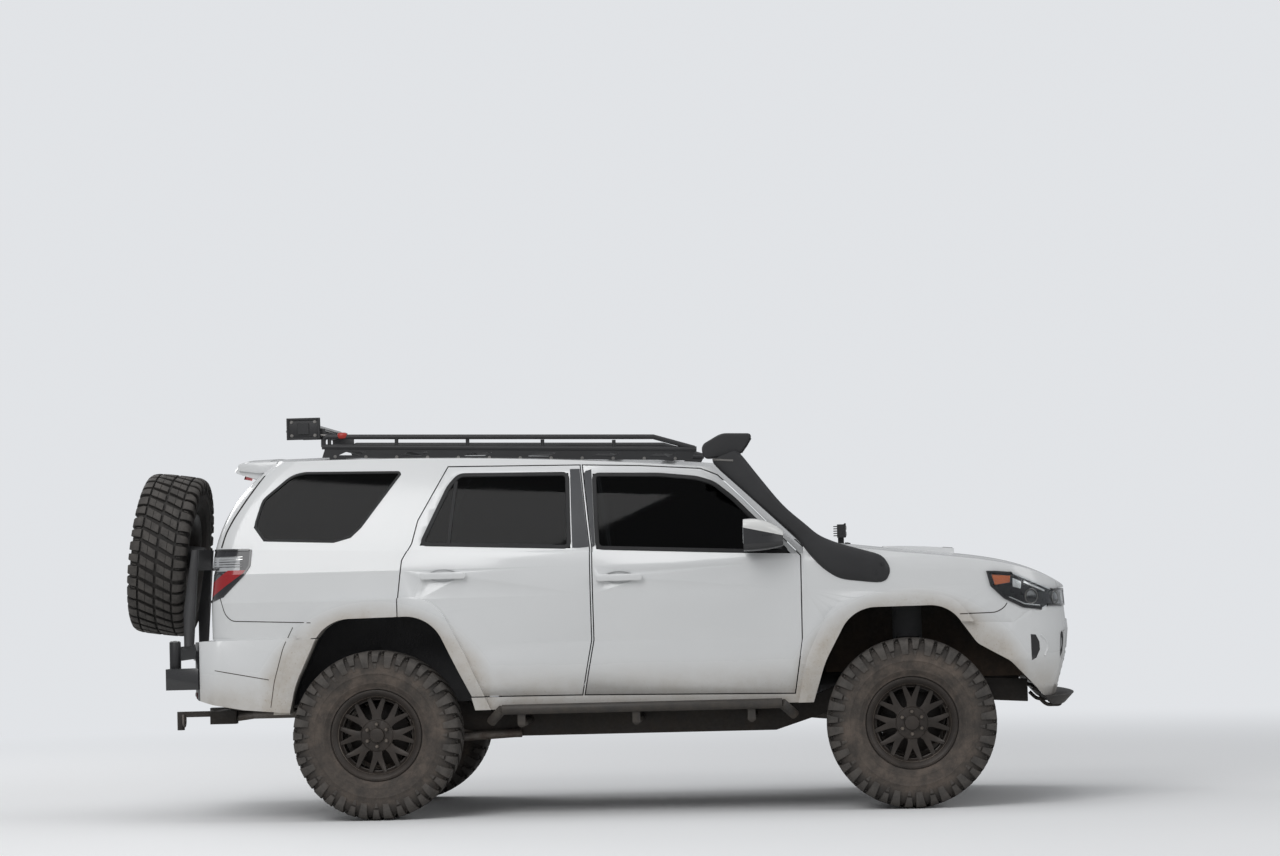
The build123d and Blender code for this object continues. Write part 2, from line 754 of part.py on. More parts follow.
# Tyres and rims are made once, standing on their axle with the outboard side up, and placed at each hub
tread_radius = 426
shoulder_radius = 418
tyre_wall = 16
lug_count = 20
disc_radius = 162
disc_thickness = 28
hub_radius = 84
cap_radius = 40
spoke_count = 8
spoke_low = 46
spoke_high = 84
# Half of the tyre's section: distance from its middle plane, radius
tyre_table = [
    (106, rim_radius + 1), (118, rim_radius + 2), (147, 290), (150, 350), (146, 398),
    (132, shoulder_radius), (86, tread_radius), (0, tread_radius + 2),
]
cavity_table = [(0, 404), (116, 396), (tyre_width / 2 - tyre_wall, 345), (106, rim_radius + 12)]
# Lugs: start and end from the middle plane, width at each, lead at each as a share of the
# pitch, lowest radius
lug_table = [
    (-158, -90, 76, 64, 0.00, 0.10, 362), (-80, -8, 66, 56, 0.32, 0.64, 410),
    (8, 80, 56, 66, 0.90, 1.22, 410), (90, 158, 64, 76, 0.44, 0.54, 362),
]
# Short blocks on the sidewall between the long shoulder lugs
side_block_table = [(-158, -140, 34, 0.50, 372), (140, 158, 34, 0.94, 372)]


def hub_plane(centre, outboard):
    """The plane across an axle, whose normal points outboard."""
    return Plane(origin=centre, x_dir=(0, 0, 1), z_dir=outboard)

with BuildPart() as lug_ring:
    pitch = 2 * pi * tyre_radius / lug_count
    for start, end, start_width, end_width, start_lead, end_lead, low_radius in lug_table:
        with BuildPart(mode=Mode.PRIVATE) as lug:
            with BuildSketch(Plane.YZ.offset(low_radius)):
                with BuildLine():
                    Polyline(
                        (start_lead * pitch - start_width / 2, start),
                        (end_lead * pitch - end_width / 2, end),
                        (end_lead * pitch + end_width / 2, end),
                        (start_lead * pitch + start_width / 2, start),
                        close=True,
                    )
                make_face()
            extrude(amount=tyre_radius + 8 - low_radius)
        with PolarLocations(0, lug_count):
            add(lug.part)
    for start, end, width, lead, low_radius in side_block_table:
        middle = lead * pitch
        with BuildPart(mode=Mode.PRIVATE) as side_lug:
            add(box_between((low_radius, middle - width / 2, start),
                            (shoulder_radius, middle + width / 2, end)))
        with PolarLocations(0, lug_count):
            add(side_lug.part)
    with BuildSketch(Plane.XZ):
        with BuildLine():
            Polyline(
                (300, -150), (360, -150), (376, -tyre_width / 2), (tyre_radius - 32, -tyre_width / 2),
                (tyre_radius - 12, -144), (tyre_radius, -108), (tyre_radius, 108),
                (tyre_radius - 12, 144),
                (tyre_radius - 32, tyre_width / 2), (376, tyre_width / 2), (360, 150), (300, 150),
                close=True,
            )
        make_face()
    revolve(axis=Axis.Z, mode=Mode.INTERSECT)
with BuildPart() as tyre:
    with BuildSketch(Plane.XZ):
        with BuildLine():
            Polyline(
                *[(radius, height) for height, radius in tyre_table],
                *[(radius, -height) for height, radius in reversed(tyre_table[:-1])],
                *[(radius, -height) for height, radius in reversed(cavity_table)],
                *[(radius, height) for height, radius in cavity_table[1:]],
                close=True,
            )
        make_face()
    revolve(axis=Axis.Z)
    add(lug_ring.part)

rim_half = rim_width / 2
# Half of the rim's barrel: distance from the middle plane, outer radius, inner radius
barrel_table = [
    (-rim_half, rim_radius, rim_radius - 14), (14 - rim_half, bead_radius, bead_radius - 12),
    (-50, bead_radius - 20, bead_radius - 32), (60, bead_radius - 20, bead_radius - 32),
    (rim_half - 24, bead_radius - 4, bead_radius - 16), (rim_half - 12, rim_radius, bead_radius - 6),
    (rim_half, rim_radius, rim_radius - 12),
]
with BuildSketch(mode=Mode.PRIVATE) as spoke:
    with BuildLine():
        Polyline(
            (60, -26), (104, -24), (196, -50), (199, -32), (132, 0), (199, 32), (196, 50),
            (104, 24), (60, 26),
            close=True,
        )
    make_face()
with BuildPart() as rim:
    with BuildSketch(Plane.XZ):
        with BuildLine():
            Polyline(
                *[(outer, height) for height, outer, _ in barrel_table],
                *[(inner, height) for height, _, inner in reversed(barrel_table)],
                close=True,
            )
        make_face()
    revolve(axis=Axis.Z)
    with BuildSketch(Plane.XY.offset(spoke_low)):
        Circle(hub_radius)
        with PolarLocations(0, spoke_count):
            add(spoke.sketch)
    extrude(amount=spoke_high - spoke_low)
    with BuildSketch(Plane.XY.offset(20)):
        Circle(hub_radius - 12)
    extrude(amount=spoke_low - 20)
    with BuildSketch(Plane.XY.offset(spoke_high)):
        Circle(cap_radius)
    extrude(amount=16, taper=12)
with BuildPart() as braked_rim:
    add(rim.part)
    with BuildSketch(Plane.XY.offset(-72)):
        Circle(disc_radius)
    extrude(amount=disc_thickness)
    with BuildSketch(Plane.XY.offset(disc_thickness - 72)):
        Circle(hub_radius - 20)
    extrude(amount=92 - disc_thickness)


def placed(part, hub):
    """A copy of a wheel's piece, moved to a hub."""
    with BuildPart() as copy:
        add(part.moved(hub.location))
    return copy.part

wheel_table = [
    ("front_left", fa, 1), ("front_right", fa, -1), ("rear_left", ra, 1), ("rear_right", ra, -1),
]
for name, axle_x, side in wheel_table:
    hub = hub_plane((axle_x, side * wheel_y, axle_z), (0, side, 0))
    save(placed(tyre.part, hub), "tyre_" + name)
    save(placed(braked_rim.part, hub), "rim_" + name)

# Spare wheel, leaning with the tailgate, and its swing-out carrier
spare_centre = (ra - 1235, 0, 1420)
spare_lean = 7.5
spare_hub = hub_plane(spare_centre, (-cos(radians(spare_lean)), 0, sin(radians(spare_lean))))
save(placed(tyre.part, spare_hub), "spare_tyre")
save(placed(rim.part, spare_hub), "spare_rim")

arm_low_z = 852
arm_high_z = 922
post_y = -395
post_2_y = 60
with BuildPart() as carrier:
    with BuildSketch(Plane.XY.offset(carrier_low_z)):
        with Locations((carrier_x, carrier_y)):
            Circle(sleeve_radius)
    extrude(amount=arm_high_z - carrier_low_z + 30)
    add(box_between((carrier_x - 25, carrier_y, arm_low_z), (carrier_x + 25, post_2_y + 25, arm_high_z)))
    for y in (post_y, post_2_y):
        with BuildSketch(Plane.XZ.offset(-(y + 25))):
            with BuildLine():
                Polyline(
                    (carrier_x - 22, arm_high_z - 30), (carrier_x + 22, arm_high_z - 30),
                    (carrier_x + 62, 1440), (carrier_x + 30, 1440), (carrier_x - 22, 1100), close=True,
                )
            make_face()
        extrude(amount=50)
    with BuildSketch(spare_hub.offset(-185)):
        Circle(60)
    extrude(amount=205)
    with BuildSketch(Plane.YZ.offset(carrier_x + 30)):
        with BuildLine():
            Polyline((post_y - 20, 1330), (post_2_y + 20, 1330), (post_2_y + 20, 1440),
                     (post_y - 20, 1440), close=True)
        make_face()
    extrude(amount=24)
save(carrier.part, "spare_carrier")

# Knuckles that turn about an upright kingpin inside the rims
knuckle_low_z = 318
knuckle_high_z = 585
ball_gap = 6
arm_eye_radius = 34
with BuildPart() as knuckle:
    with BuildSketch(Plane.XY.offset(knuckle_low_z)):
        with Locations((fa, kingpin_y)):
            Circle(30)
    extrude(amount=knuckle_high_z - knuckle_low_z)
    with BuildSketch(Plane.XZ.offset(-(kingpin_y - 30))):
        with Locations((fa, axle_z)):
            Circle(70)
    extrude(amount=-(wheel_y - 74 - 8 - kingpin_y + 30))
    with BuildSketch(Plane.XY.offset(knuckle_low_z)):
        with BuildLine():
            Polyline(
                (fa, kingpin_y - 22), (fa + steering_arm, kingpin_y - 62),
                (fa + steering_arm + 16, kingpin_y - 46),
                (fa + steering_arm, kingpin_y - 26), (fa, kingpin_y + 22), close=True,
            )
        make_face()
    extrude(amount=24)
    with BuildSketch(Plane.XZ.offset(-(wheel_y - 118))):
        with Locations((fa - 118, axle_z)):
            Rectangle(50, 110)
    extrude(amount=-36)
    with BuildSketch(Plane.XZ.offset(-(wheel_y - 118))):
        with Locations((fa - 60, axle_z)):
            Rectangle(90, 60)
    extrude(amount=-24)
save_both(knuckle.part, "knuckle")

# Steering rack with its rods, whose eyes lie over the steering arms
rack_z = knuckle_low_z + 24 + ball_gap + 14
with BuildPart() as tie_rods:
    with BuildSketch(Plane.XZ.offset(kingpin_y - 60)):
        with Locations((fa + steering_arm, rack_z)):
            Circle(13)
    extrude(amount=-2 * (kingpin_y - 60))
    for side in (1, -1):
        with BuildSketch(Plane.XY.offset(rack_z - 14)):
            with Locations((fa + steering_arm, side * (kingpin_y - 50))):
                Circle(20)
        extrude(amount=28)
save(tie_rods.part, "tie_rods")

# Front suspension: lower and upper arms, struts, differential and half shafts
rail_y = 400
lower_arm_z = knuckle_low_z - ball_gap - 30
upper_arm_z = knuckle_high_z + ball_gap
strut_y = 548
with BuildPart() as front_suspension:
    with BuildSketch(Plane.XY.offset(lower_arm_z)):
        with BuildLine():
            Polyline(
                (fa - arm_eye_radius, kingpin_y), (fa - 172, 350), (fa - 112, 350), (fa, kingpin_y - 170),
                (fa + 112, 350), (fa + 172, 350), (fa + arm_eye_radius, kingpin_y), close=True,
            )
        make_face()
        with Locations((fa, kingpin_y)):
            Circle(arm_eye_radius)
    extrude(amount=30)
    with BuildSketch(Plane.XY.offset(upper_arm_z)):
        with BuildLine():
            Polyline(
                (fa - arm_eye_radius, kingpin_y), (fa - 95, 612), (fa - 125, 436), (fa - 95, 436),
                (fa - 68, 604),
                (fa, kingpin_y - 46), (fa + 68, 604), (fa + 95, 436), (fa + 125, 436), (fa + 95, 612),
                (fa + arm_eye_radius, kingpin_y), close=True,
            )
        make_face()
        with Locations((fa, kingpin_y)):
            Circle(arm_eye_radius)
    extrude(amount=22)
    for x_low, x_high in ((-64, -48), (48, 64)):
        add(box_between((fa + x_low, strut_y - 14, lower_arm_z + 30), (fa + x_high, strut_y + 14, 524)))
    add(box_between((fa - 64, strut_y - 14, 506), (fa + 64, strut_y + 14, 524)))
    with BuildSketch(Plane(origin=(fa, strut_y, 520), x_dir=(1, 0, 0), z_dir=(0, -0.13, 1))):
        Circle(52)
    extrude(amount=338)
    mirror(about=Plane.XZ)
with BuildPart() as front_axle:
    with BuildSketch(Plane.XZ.offset(610)):
        with Locations((fa, axle_z)):
            Circle(22)
    extrude(amount=-1220)
    for y in (610 - 100, -610):
        with BuildSketch(Plane.XZ.offset(-y - 100)):
            with Locations((fa, axle_z)):
                Circle(44)
        extrude(amount=100)
    with BuildSketch(Plane.XZ.offset(130)):
        with Locations((fa, axle_z)):
            Circle(95)
    extrude(amount=-260)
    with BuildSketch(Plane.YZ.offset(fa - 190)):
        with Locations((-40, axle_z)):
            Circle(60)
    extrude(amount=190)
save(front_suspension.part, "front_suspension")

# Rear axle: tube, differential, brackets; then links, coils and dampers
bracket_half = 60
with BuildPart() as rear_axle:
    with BuildSketch(Plane.XZ.offset(wheel_y - 90)):
        with Locations((ra, axle_z)):
            Circle(42)
    extrude(amount=-2 * (wheel_y - 90))
    with BuildSketch(Plane.XZ.offset(95)):
        with Locations((ra, axle_z)):
            Circle(150)
    extrude(amount=-190)
    with BuildSketch(Plane.YZ.offset(ra + 100)):
        with Locations((0, axle_z)):
            Circle(62)
    extrude(amount=130)
    for side in (1, -1):
        near, past = sorted((side * 440, side * 580))
        add(box_between((ra - bracket_half, near, axle_z - 95), (ra + bracket_half, past, axle_z + 44)))
with BuildPart() as rear_links:
    add(rear_axle.part)
    for side in (1, -1):
        with BuildSketch(Plane(origin=(ra + bracket_half + 2, side * 464, axle_z - 55),
                               x_dir=(0, 1, 0), z_dir=(1, 0, 0.05))):
            Circle(24)
        extrude(amount=660)
        near, past = sorted((side * 435.5, side * 464))
        add(box_between((ra + 670, near, axle_z - 48), (ra + 720, past, axle_z)))
        with BuildSketch(Plane.XY.offset(axle_z + 44)):
            with Locations((ra, side * 510)):
                Circle(58)
        extrude(amount=250)
        with BuildSketch(Plane(origin=(ra - 92, side * 545, axle_z - 30), x_dir=(1, 0, 0),
                               z_dir=(-0.25, -side * 0.12, 1))):
            Circle(26)
        extrude(amount=410)
save(rear_links.part, "rear_axle")

# Ladder frame: two boxed rails that rise over the axles, and crossmembers between them
rail_width = 70
arm_bracket_table = [-176, 148]
rail_outline = [
    (-850, 690), (-420, 690), (-300, 700), (-180, 705), (250, 705), (480, 560), (620, 520), (2050, 520),
    (2300, 585), (2480, 660), (3100, 660), (3420, 640), (3420, 520), (3100, 540), (2500, 540),
    (2330, 480), (2080, 400), (600, 400), (420, 440), (200, 585), (-200, 585), (-850, 570),
]
# Spring towers: middle, low, high, outer reach
tower_table = [(fa, 650, 880, 540), (ra, 690, 754, 560)]
tower_half = 60
tower_shelf = 18
# Crossmembers: start from rear axle, length, low, high
crossmember_table = [
    (-845, 90, 582, 670), (-330, 90, 600, 690), (330, 90, 600, 660), (900, 120, 405, 460),
    (1500, 120, 405, 448),
    (2475, 80, 560, 610), (3150, 90, 555, 640),
]
inner_rail_y = rail_y - rail_width / 2
with BuildPart() as ladder_frame:
    with BuildSketch(Plane.XZ.offset(-(rail_y + rail_width / 2))):
        with BuildLine():
            Polyline(*shifted(rail_outline, ra), close=True)
        make_face()
    extrude(amount=rail_width)
    for x, low, high, reach in tower_table:
        add(box_between((x - tower_half, rail_y, low), (x + tower_half, rail_y + rail_width / 2, high)))
        add(box_between((x - tower_half, rail_y, high - tower_shelf), (x + tower_half, reach, high)))
    for start in arm_bracket_table:
        add(box_between((fa + start, 350, lower_arm_z + 30), (fa + start + 28, inner_rail_y + 20, 540)))
    mirror(about=Plane.XZ)
    for start, length, low, high in crossmember_table:
        add(box_between((ra + start, -inner_rail_y, low), (ra + start + length, inner_rail_y, high)))
save(ladder_frame.part, "ladder_frame")

# Tow hitch under the rear bumper, with its square receiver and drawbar
receiver_pin_x = ra - 985
hook_y = -170
with BuildPart() as hitch:
    add(box_between((ra - 960, -440, 500), (ra - 900, 440, 568)))
    add(box_between((ra - 900, -440, 500), (ra - 820, -365, 569)))
    add(box_between((ra - 900, 365, 500), (ra - 820, 440, 569)))
    add(box_between((ra - 1030, -38, 498), (ra - 930, 38, 574)))
    add(box_between((ra - 1040, -25, 511), (ra - 920, 25, 561)), mode=Mode.SUBTRACT)
    add(box_between((ra - 1170, hook_y - 20, 532), (ra - 960, hook_y + 20, 562)))
    with BuildSketch(Plane.XY.offset(462)):
        with Locations((ra - 1168, hook_y)):
            Circle(20)
    extrude(amount=100)
    with BuildSketch(Plane.XZ.offset(-50)):
        with Locations((receiver_pin_x, 536)):
            Circle(8)
    extrude(amount=100, mode=Mode.SUBTRACT)
save(hitch.part, "hitch")

# Engine and gearbox, one closed mass each, with the shafts to the two axles
bell_radius = 126
gearbox_z = 622
transfer_x = fa - 1120
with BuildPart() as powertrain:
    add(box_between((fa - 330, -270, 620), (fa + 330, 270, 1180)))
    with BuildSketch(Plane.YZ.offset(fa - 330)):
        with Locations((0, gearbox_z)):
            Circle(bell_radius)
    extrude(amount=-260)
    with BuildSketch(Plane.YZ.offset(fa - 590)):
        with Locations((0, gearbox_z)):
            Circle(bell_radius - 24)
    extrude(amount=-400)
    add(box_between((transfer_x, -250, 450), (transfer_x + 220, 110, 588)))
with BuildPart() as shafts:
    for start, end in (
        ((transfer_x - 8, 0, 556), (ra + 240, 0, axle_z + 8)),
        ((transfer_x + 232, -200, 520), (fa - 204, -50, axle_z + 6)),
    ):
        run = Vector(*end) - Vector(*start)
        with BuildSketch(Plane(origin=start, z_dir=run)):
            Circle(34)
        extrude(amount=run.length)
    add(front_axle.part)
save(powertrain.part, "powertrain")
save(shafts.part, "drive_shafts")

with BuildPart() as fuel_tank:
    add(box_between((ra + 560, 70, 474), (ra + 1300, 355, 590)))
    fillet(fuel_tank.edges().filter_by(Axis.Z), 50)
save(fuel_tank.part, "fuel_tank")

# Exhaust: a pipe along the right rail, a silencer ahead of the rear axle and a tail pipe
pipe_radius = 30
exhaust_y = -305
exhaust_z = 548
with BuildPart() as exhaust:
    with BuildSketch(Plane.YZ.offset(fa - 860)):
        with Locations((exhaust_y, exhaust_z)):
            Circle(pipe_radius - 2)
    extrude(amount=-(fa - 860 - (ra - 760)))
    with BuildSketch(Plane(origin=(ra - 750, exhaust_y, exhaust_z), z_dir=(-1, -0.2, -0.12))):
        Circle(pipe_radius - 1)
    extrude(amount=130)
    with BuildSketch(Plane.YZ.offset(ra + 470)):
        with Locations((-276, 536)):
            Ellipse(76, 56)
    extrude(amount=390)
save(exhaust.part, "exhaust")

# Seats, dashboard and steering wheel
seat_y = 370
seat_half_width = 250
front_seat_x = ra + 1180
rear_seat_x = ra + 330
cushion_z = 960
back_top_z = 1440


def seat(x, y, half_width):
    """A cushion on a pedestal and a raked back with its head restraint."""
    with BuildPart() as body:
        with BuildSketch(Plane.XZ.offset(-(y + half_width))) as profile:
            with BuildLine():
                Polyline(
                    (x + 20, cabin_floor_z + 280), (x + 520, cabin_floor_z + 300),
                    (x + 530, cushion_z - 20),
                    (x + 140, cushion_z - 30), (x - 90, back_top_z), (x - 190, back_top_z - 10),
                    (x - 20, cushion_z - 60), close=True,
                )
            make_face()
            fillet(profile.vertices(), 14)
        extrude(amount=2 * half_width)
    return body.part

with BuildPart() as seats:
    for y in (seat_y, -seat_y):
        add(seat(front_seat_x, y, seat_half_width))
        add(box_between((front_seat_x + 60, y - 190, cabin_floor_z + 20),
                        (front_seat_x + 460, y + 190, cabin_floor_z + 300)))
        add(box_between((front_seat_x - 235, y - 130, back_top_z - 30),
                        (front_seat_x - 125, y + 130, back_top_z + 150)))
    add(seat(rear_seat_x, 0, 570))
    for y in (-370, 0, 370):
        add(box_between((rear_seat_x - 235, y - 120, back_top_z - 30),
                        (rear_seat_x - 135, y + 120, back_top_z + 110)))
save(seats.part, "seats")

with BuildPart() as dashboard:
    with BuildSketch(Plane.XZ.offset(-700)):
        with BuildLine():
            Polyline(
                (ra + 2190, 1010), (ra + 1960, 1020), (ra + 1900, 1120), (ra + 1930, 1240),
                (ra + 2010, 1290),
                (ra + 2190, 1300), close=True,
            )
        make_face()
    extrude(amount=1400)
    add(box_between((ra + 1250, -110, tunnel_top_z + 1), (ra + 2000, 110, 900)))
    add(box_between((ra + 1890, -110, 880), (ra + 2010, 110, 1040)))

wheel_centre = (ra + 1800, seat_y, 1190)
column_axis = (-0.9, 0, 0.42)
with BuildPart() as steering_wheel:
    with BuildSketch(Plane(origin=wheel_centre, x_dir=(0, 1, 0), z_dir=column_axis)):
        Circle(60)
        Rectangle(370, 34)
    extrude(amount=18, both=True)
    with BuildSketch(Plane(origin=wheel_centre, x_dir=(0, 1, 0), z_dir=column_axis)):
        Circle(30)
    extrude(amount=-106)
with BuildPart() as steering_rim:
    column = Plane(origin=wheel_centre, x_dir=(0, 1, 0), z_dir=column_axis)
    with BuildSketch(Plane(origin=column.origin + column.x_dir * 185, x_dir=column.x_dir,
                           z_dir=column.y_dir)):
        Circle(15)
    revolve(axis=Axis(column.origin, column.z_dir))
    add(steering_wheel.part)
    add(dashboard.part)
save(steering_rim.part, "dashboard")

# Rock sliders: a tube along each sill with legs from the frame rail
slider_y = 930
slider_z = 560
slider_radius = 26
slider_leg_z = 488
slider_rear_x = ra + 660
slider_front_x = ra + 2120
with BuildPart() as rock_sliders:
    with BuildSketch(Plane.YZ.offset(slider_rear_x)):
        with Locations((slider_y, slider_z)):
            Circle(slider_radius)
    extrude(amount=slider_front_x - slider_rear_x)
    for x, reach in ((slider_rear_x, -70), (slider_front_x, 70)):
        with BuildSketch(Plane(origin=(x, slider_y, slider_z), z_dir=(reach, -70, -70))):
            Circle(slider_radius)
        extrude(amount=110)
    for x in (ra + 760, ra + 1360, ra + 1960):
        with BuildSketch(Plane.XZ.offset(-(rail_y + rail_width / 2))):
            with Locations((x, slider_leg_z)):
                Circle(22)
        extrude(amount=-480)
        add(box_between((x - 20, slider_y - 34, slider_leg_z - 10),
                        (x + 20, slider_y - 4, slider_z - 10)))
    mirror(about=Plane.XZ)
save(rock_sliders.part, "rock_sliders")

# Roof rack: two side rails with slotted plates and tubes, and slats across
rack_y = 600
rack_rear_x = ra - 300
rack_front_x = ra + 1700
rack_plate = 6
tube_radius = 14
rack_plate_low_z = 1912
rack_tube_z = 1970
rack_top_z = 2023
rack_fall = 66
rack_length = rack_front_x - rack_rear_x
slot_start_table = [90, 420, 760, 1100, 1440, 1740]
slot_length = 150
rack_post_table = [40, 400, 780, 1180, 1560]
slat_count = 7
slat_width = 70


def rack_line(x, height):
    """A height on the rack's gentle slope down towards the windscreen."""
    return height - rack_fall * (x - rack_rear_x) / rack_length

with BuildPart() as rack_side:
    with BuildSketch(Plane.XZ.offset(-(rack_y + rack_plate))):
        with BuildLine():
            Polyline(
                (rack_rear_x, rack_plate_low_z),
                (rack_front_x - 30, rack_line(rack_front_x, rack_plate_low_z)),
                (rack_front_x, rack_line(rack_front_x, rack_tube_z)),
                (rack_rear_x + 20, rack_tube_z), close=True,
            )
        make_face()
        for start in slot_start_table:
            x = rack_rear_x + start
            low = rack_line(x, rack_plate_low_z + 14)
            with BuildLine():
                Polyline(
                    (x, low), (x + slot_length - 40, low - 3), (x + slot_length, low + 14),
                    (x + 40, low + 17), close=True,
                )
            make_face(mode=Mode.SUBTRACT)
    extrude(amount=rack_plate)
    with BuildSketch(Plane(origin=(rack_rear_x, rack_y, rack_tube_z),
                           z_dir=(rack_length, 0, -rack_fall))):
        Circle(tube_radius)
    extrude(amount=rack_length)
    with BuildLine():
        FilletPolyline(
            (rack_rear_x + 8, rack_y, rack_tube_z), (rack_rear_x + 8, rack_y, rack_top_z),
            (rack_front_x - 230, rack_y, rack_top_z - 48), (rack_front_x - 12, rack_y, 1909), radius=24,
        )
    with BuildSketch(Plane(origin=(rack_rear_x + 8, rack_y, rack_tube_z), z_dir=(0, 0, 1))):
        Circle(tube_radius - 1)
    sweep()
    for start in rack_post_table:
        x = rack_rear_x + start
        with BuildSketch(Plane.XY.offset(rack_line(x, rack_tube_z))):
            with Locations((x, rack_y)):
                Circle(10)
        extrude(amount=46)
    for start in rack_post_table[1:4:2] + rack_post_table[:1]:
        x = rack_rear_x + start
        add(box_between((x, rack_y - 12, 1800),
                        (x + 90, rack_y + rack_plate, rack_line(x, rack_plate_low_z) + 8)))
    add(crowned_block(roof_table, ra, roof_crown, -0.2), mode=Mode.SUBTRACT)
with BuildPart() as roof_rack:
    add(rack_side.part)
    mirror(about=Plane.XZ)
    for k in range(slat_count):
        x = rack_rear_x + 60 + k * (rack_length - 260) / (slat_count - 1)
        z = rack_line(x, rack_tube_z - 10)
        add(box_between((x, -rack_y, z), (x + slat_width, rack_y, z + 18)))
save(roof_rack.part, "roof_rack")

# Lifting jack lashed across the rear of the rack, its base plate facing right
jack_x = rack_rear_x - 95
jack_z = 2068
with BuildPart() as lift_jack:
    add(box_between((jack_x - 90, -rack_y - 26, jack_z - 58), (jack_x + 90, -rack_y - 14, jack_z + 58)))
    add(box_between((jack_x - 18, -rack_y - 14, jack_z - 18), (jack_x + 18, rack_y, jack_z + 18)))
    add(box_between((jack_x - 30, -rack_y + 240, jack_z - 40), (jack_x + 40, -rack_y + 340, jack_z + 50)))
    for y in (14 - rack_y, rack_y - 34):
        add(box_between((jack_x - 10, y, 2010), (jack_x + 110, y + 20, jack_z)))
save(lift_jack.part, "lift_jack")

# Raised air intake up the right windscreen pillar
snorkel_corner = 18
with BuildPart() as snorkel:
    with BuildSketch(Plane.XZ.offset(955)):
        with BuildLine():
            Polyline(
                (ra + 2703, 1209), (ra + 2645, 1170), (ra + 2439, 1200), (ra + 2300, 1300),
                (ra + 2225, 1405), (ra + 1800, 1806),
                (ra + 1752, 1846), (ra + 1935, 1862), (ra + 2111, 1635), (ra + 2340, 1421),
                (ra + 2494, 1365),
                (ra + 2649, 1312), close=True,
            )
        make_face()
    extrude(amount=-105)
    fillet(snorkel.faces().sort_by(Axis.Y)[0].edges(), snorkel_corner)
    with BuildSketch(Plane.XZ.offset(900)):
        with BuildLine():
            Polyline(
                (ra + 1733, 1913), (ra + 1840, 1973), (ra + 2003, 1968), (ra + 1959, 1896),
                (ra + 1922, 1850),
                (ra + 1742, 1842), close=True,
            )
        make_face()
    extrude(amount=-150)
    add(lower_body(-0.3), mode=Mode.SUBTRACT)
    add(upper_body(-0.3), mode=Mode.SUBTRACT)
save(snorkel.part, "snorkel")

# Door mirrors on short arms
with BuildPart() as mirror_head:
    with BuildSketch(Plane.YZ.offset(ra + 1945)):
        with Locations((1010, 1435)):
            RectangleRounded(170, 165, 40)
    with BuildSketch(Plane.YZ.offset(ra + 2060)):
        with Locations((1005, 1432)):
            RectangleRounded(160, 150, 40)
    with BuildSketch(Plane.YZ.offset(ra + 2150)):
        with Locations((990, 1415)):
            RectangleRounded(100, 80, 24)
    loft()
    add(box_between((ra + 2060, 880, 1362), (ra + 2140, 960, 1400)))
save_both(mirror_head.part, "mirror")

# Front arch liners between the wings and the frame
liner_y = 442
liner_sheet = 8
liner_gap = 1
strut_gap = 78
# Inner wall: start and end from the front axle, lower edge
liner_wall_table = [(-440, -strut_gap, 700), (strut_gap, 330, 700), (330, 700, 660)]
with BuildPart() as arch_liners:
    with BuildPart(mode=Mode.PRIVATE) as strip:
        add(arched_block(front_arch_table, fa, liner_y, wide, liner_gap + liner_sheet))
        add(arched_block(front_arch_table, fa, liner_y, wide, liner_gap), mode=Mode.SUBTRACT)
        for start, end, low in liner_wall_table:
            add(box_between((fa + start, liner_y, low), (fa + end, liner_y + liner_sheet, 1080)))
        add(arched_block(front_arch_table, fa, liner_y, wide, liner_gap + liner_sheet),
            mode=Mode.INTERSECT)
        add(box_between((fa - 460, liner_y, 612), (fa + 640, wide, 1100)), mode=Mode.INTERSECT)
        add(lower_body(bumper_thickness + 2), mode=Mode.INTERSECT)
    add(strip.part)
    mirror(about=Plane.XZ)
save(arch_liners.part, "arch_liners")
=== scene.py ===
import json
import math

import bmesh
import bpy
from mathutils import Matrix, Vector
from mathutils.bvhtree import BVHTree
from mathutils.geometry import delaunay_2d_cdt


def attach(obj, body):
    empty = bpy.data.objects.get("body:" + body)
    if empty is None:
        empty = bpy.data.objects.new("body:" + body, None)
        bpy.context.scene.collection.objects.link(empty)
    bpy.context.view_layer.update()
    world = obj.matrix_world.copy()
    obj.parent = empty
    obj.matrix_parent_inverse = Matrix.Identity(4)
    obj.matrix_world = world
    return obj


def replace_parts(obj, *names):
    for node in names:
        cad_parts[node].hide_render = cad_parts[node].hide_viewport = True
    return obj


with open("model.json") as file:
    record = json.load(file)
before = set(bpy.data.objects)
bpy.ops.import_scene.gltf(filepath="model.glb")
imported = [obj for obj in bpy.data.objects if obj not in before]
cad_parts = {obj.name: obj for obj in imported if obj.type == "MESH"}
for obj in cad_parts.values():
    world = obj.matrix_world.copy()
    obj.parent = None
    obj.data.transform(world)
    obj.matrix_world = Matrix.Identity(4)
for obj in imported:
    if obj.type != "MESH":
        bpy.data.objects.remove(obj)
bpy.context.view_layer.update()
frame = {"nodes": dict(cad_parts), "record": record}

# A lifted off-road estate. Metres, +X forward, +Y left, +Z up; side is 1 on the left and -1 on the right.
REAR_X = -1.118
FRONT_X = 1.672
AXLE_Z = 0.442
WHEEL_Y = 0.825
TYRE_RADIUS = 0.442
SIDES = (("left", 1), ("right", -1))
FORWARD, LEFT, UP = (1, 0, 0), (0, 1, 0), (0, 0, 1)
WELD_DISTANCE = 2e-5
BEVEL_ANGLE = math.radians(35.0)
# How far outside the car a ray starts
RAY_START = 4.0
nodes = frame["nodes"]
scene = bpy.context.scene


# Materials

def feed(socket, value):
    """Links a field to a socket, or sets the socket's number or colour."""
    if isinstance(value, Field):
        value.tree.links.new(value.socket, socket)
    else:
        socket.default_value = (*value, 1.0) if isinstance(value, tuple) else value


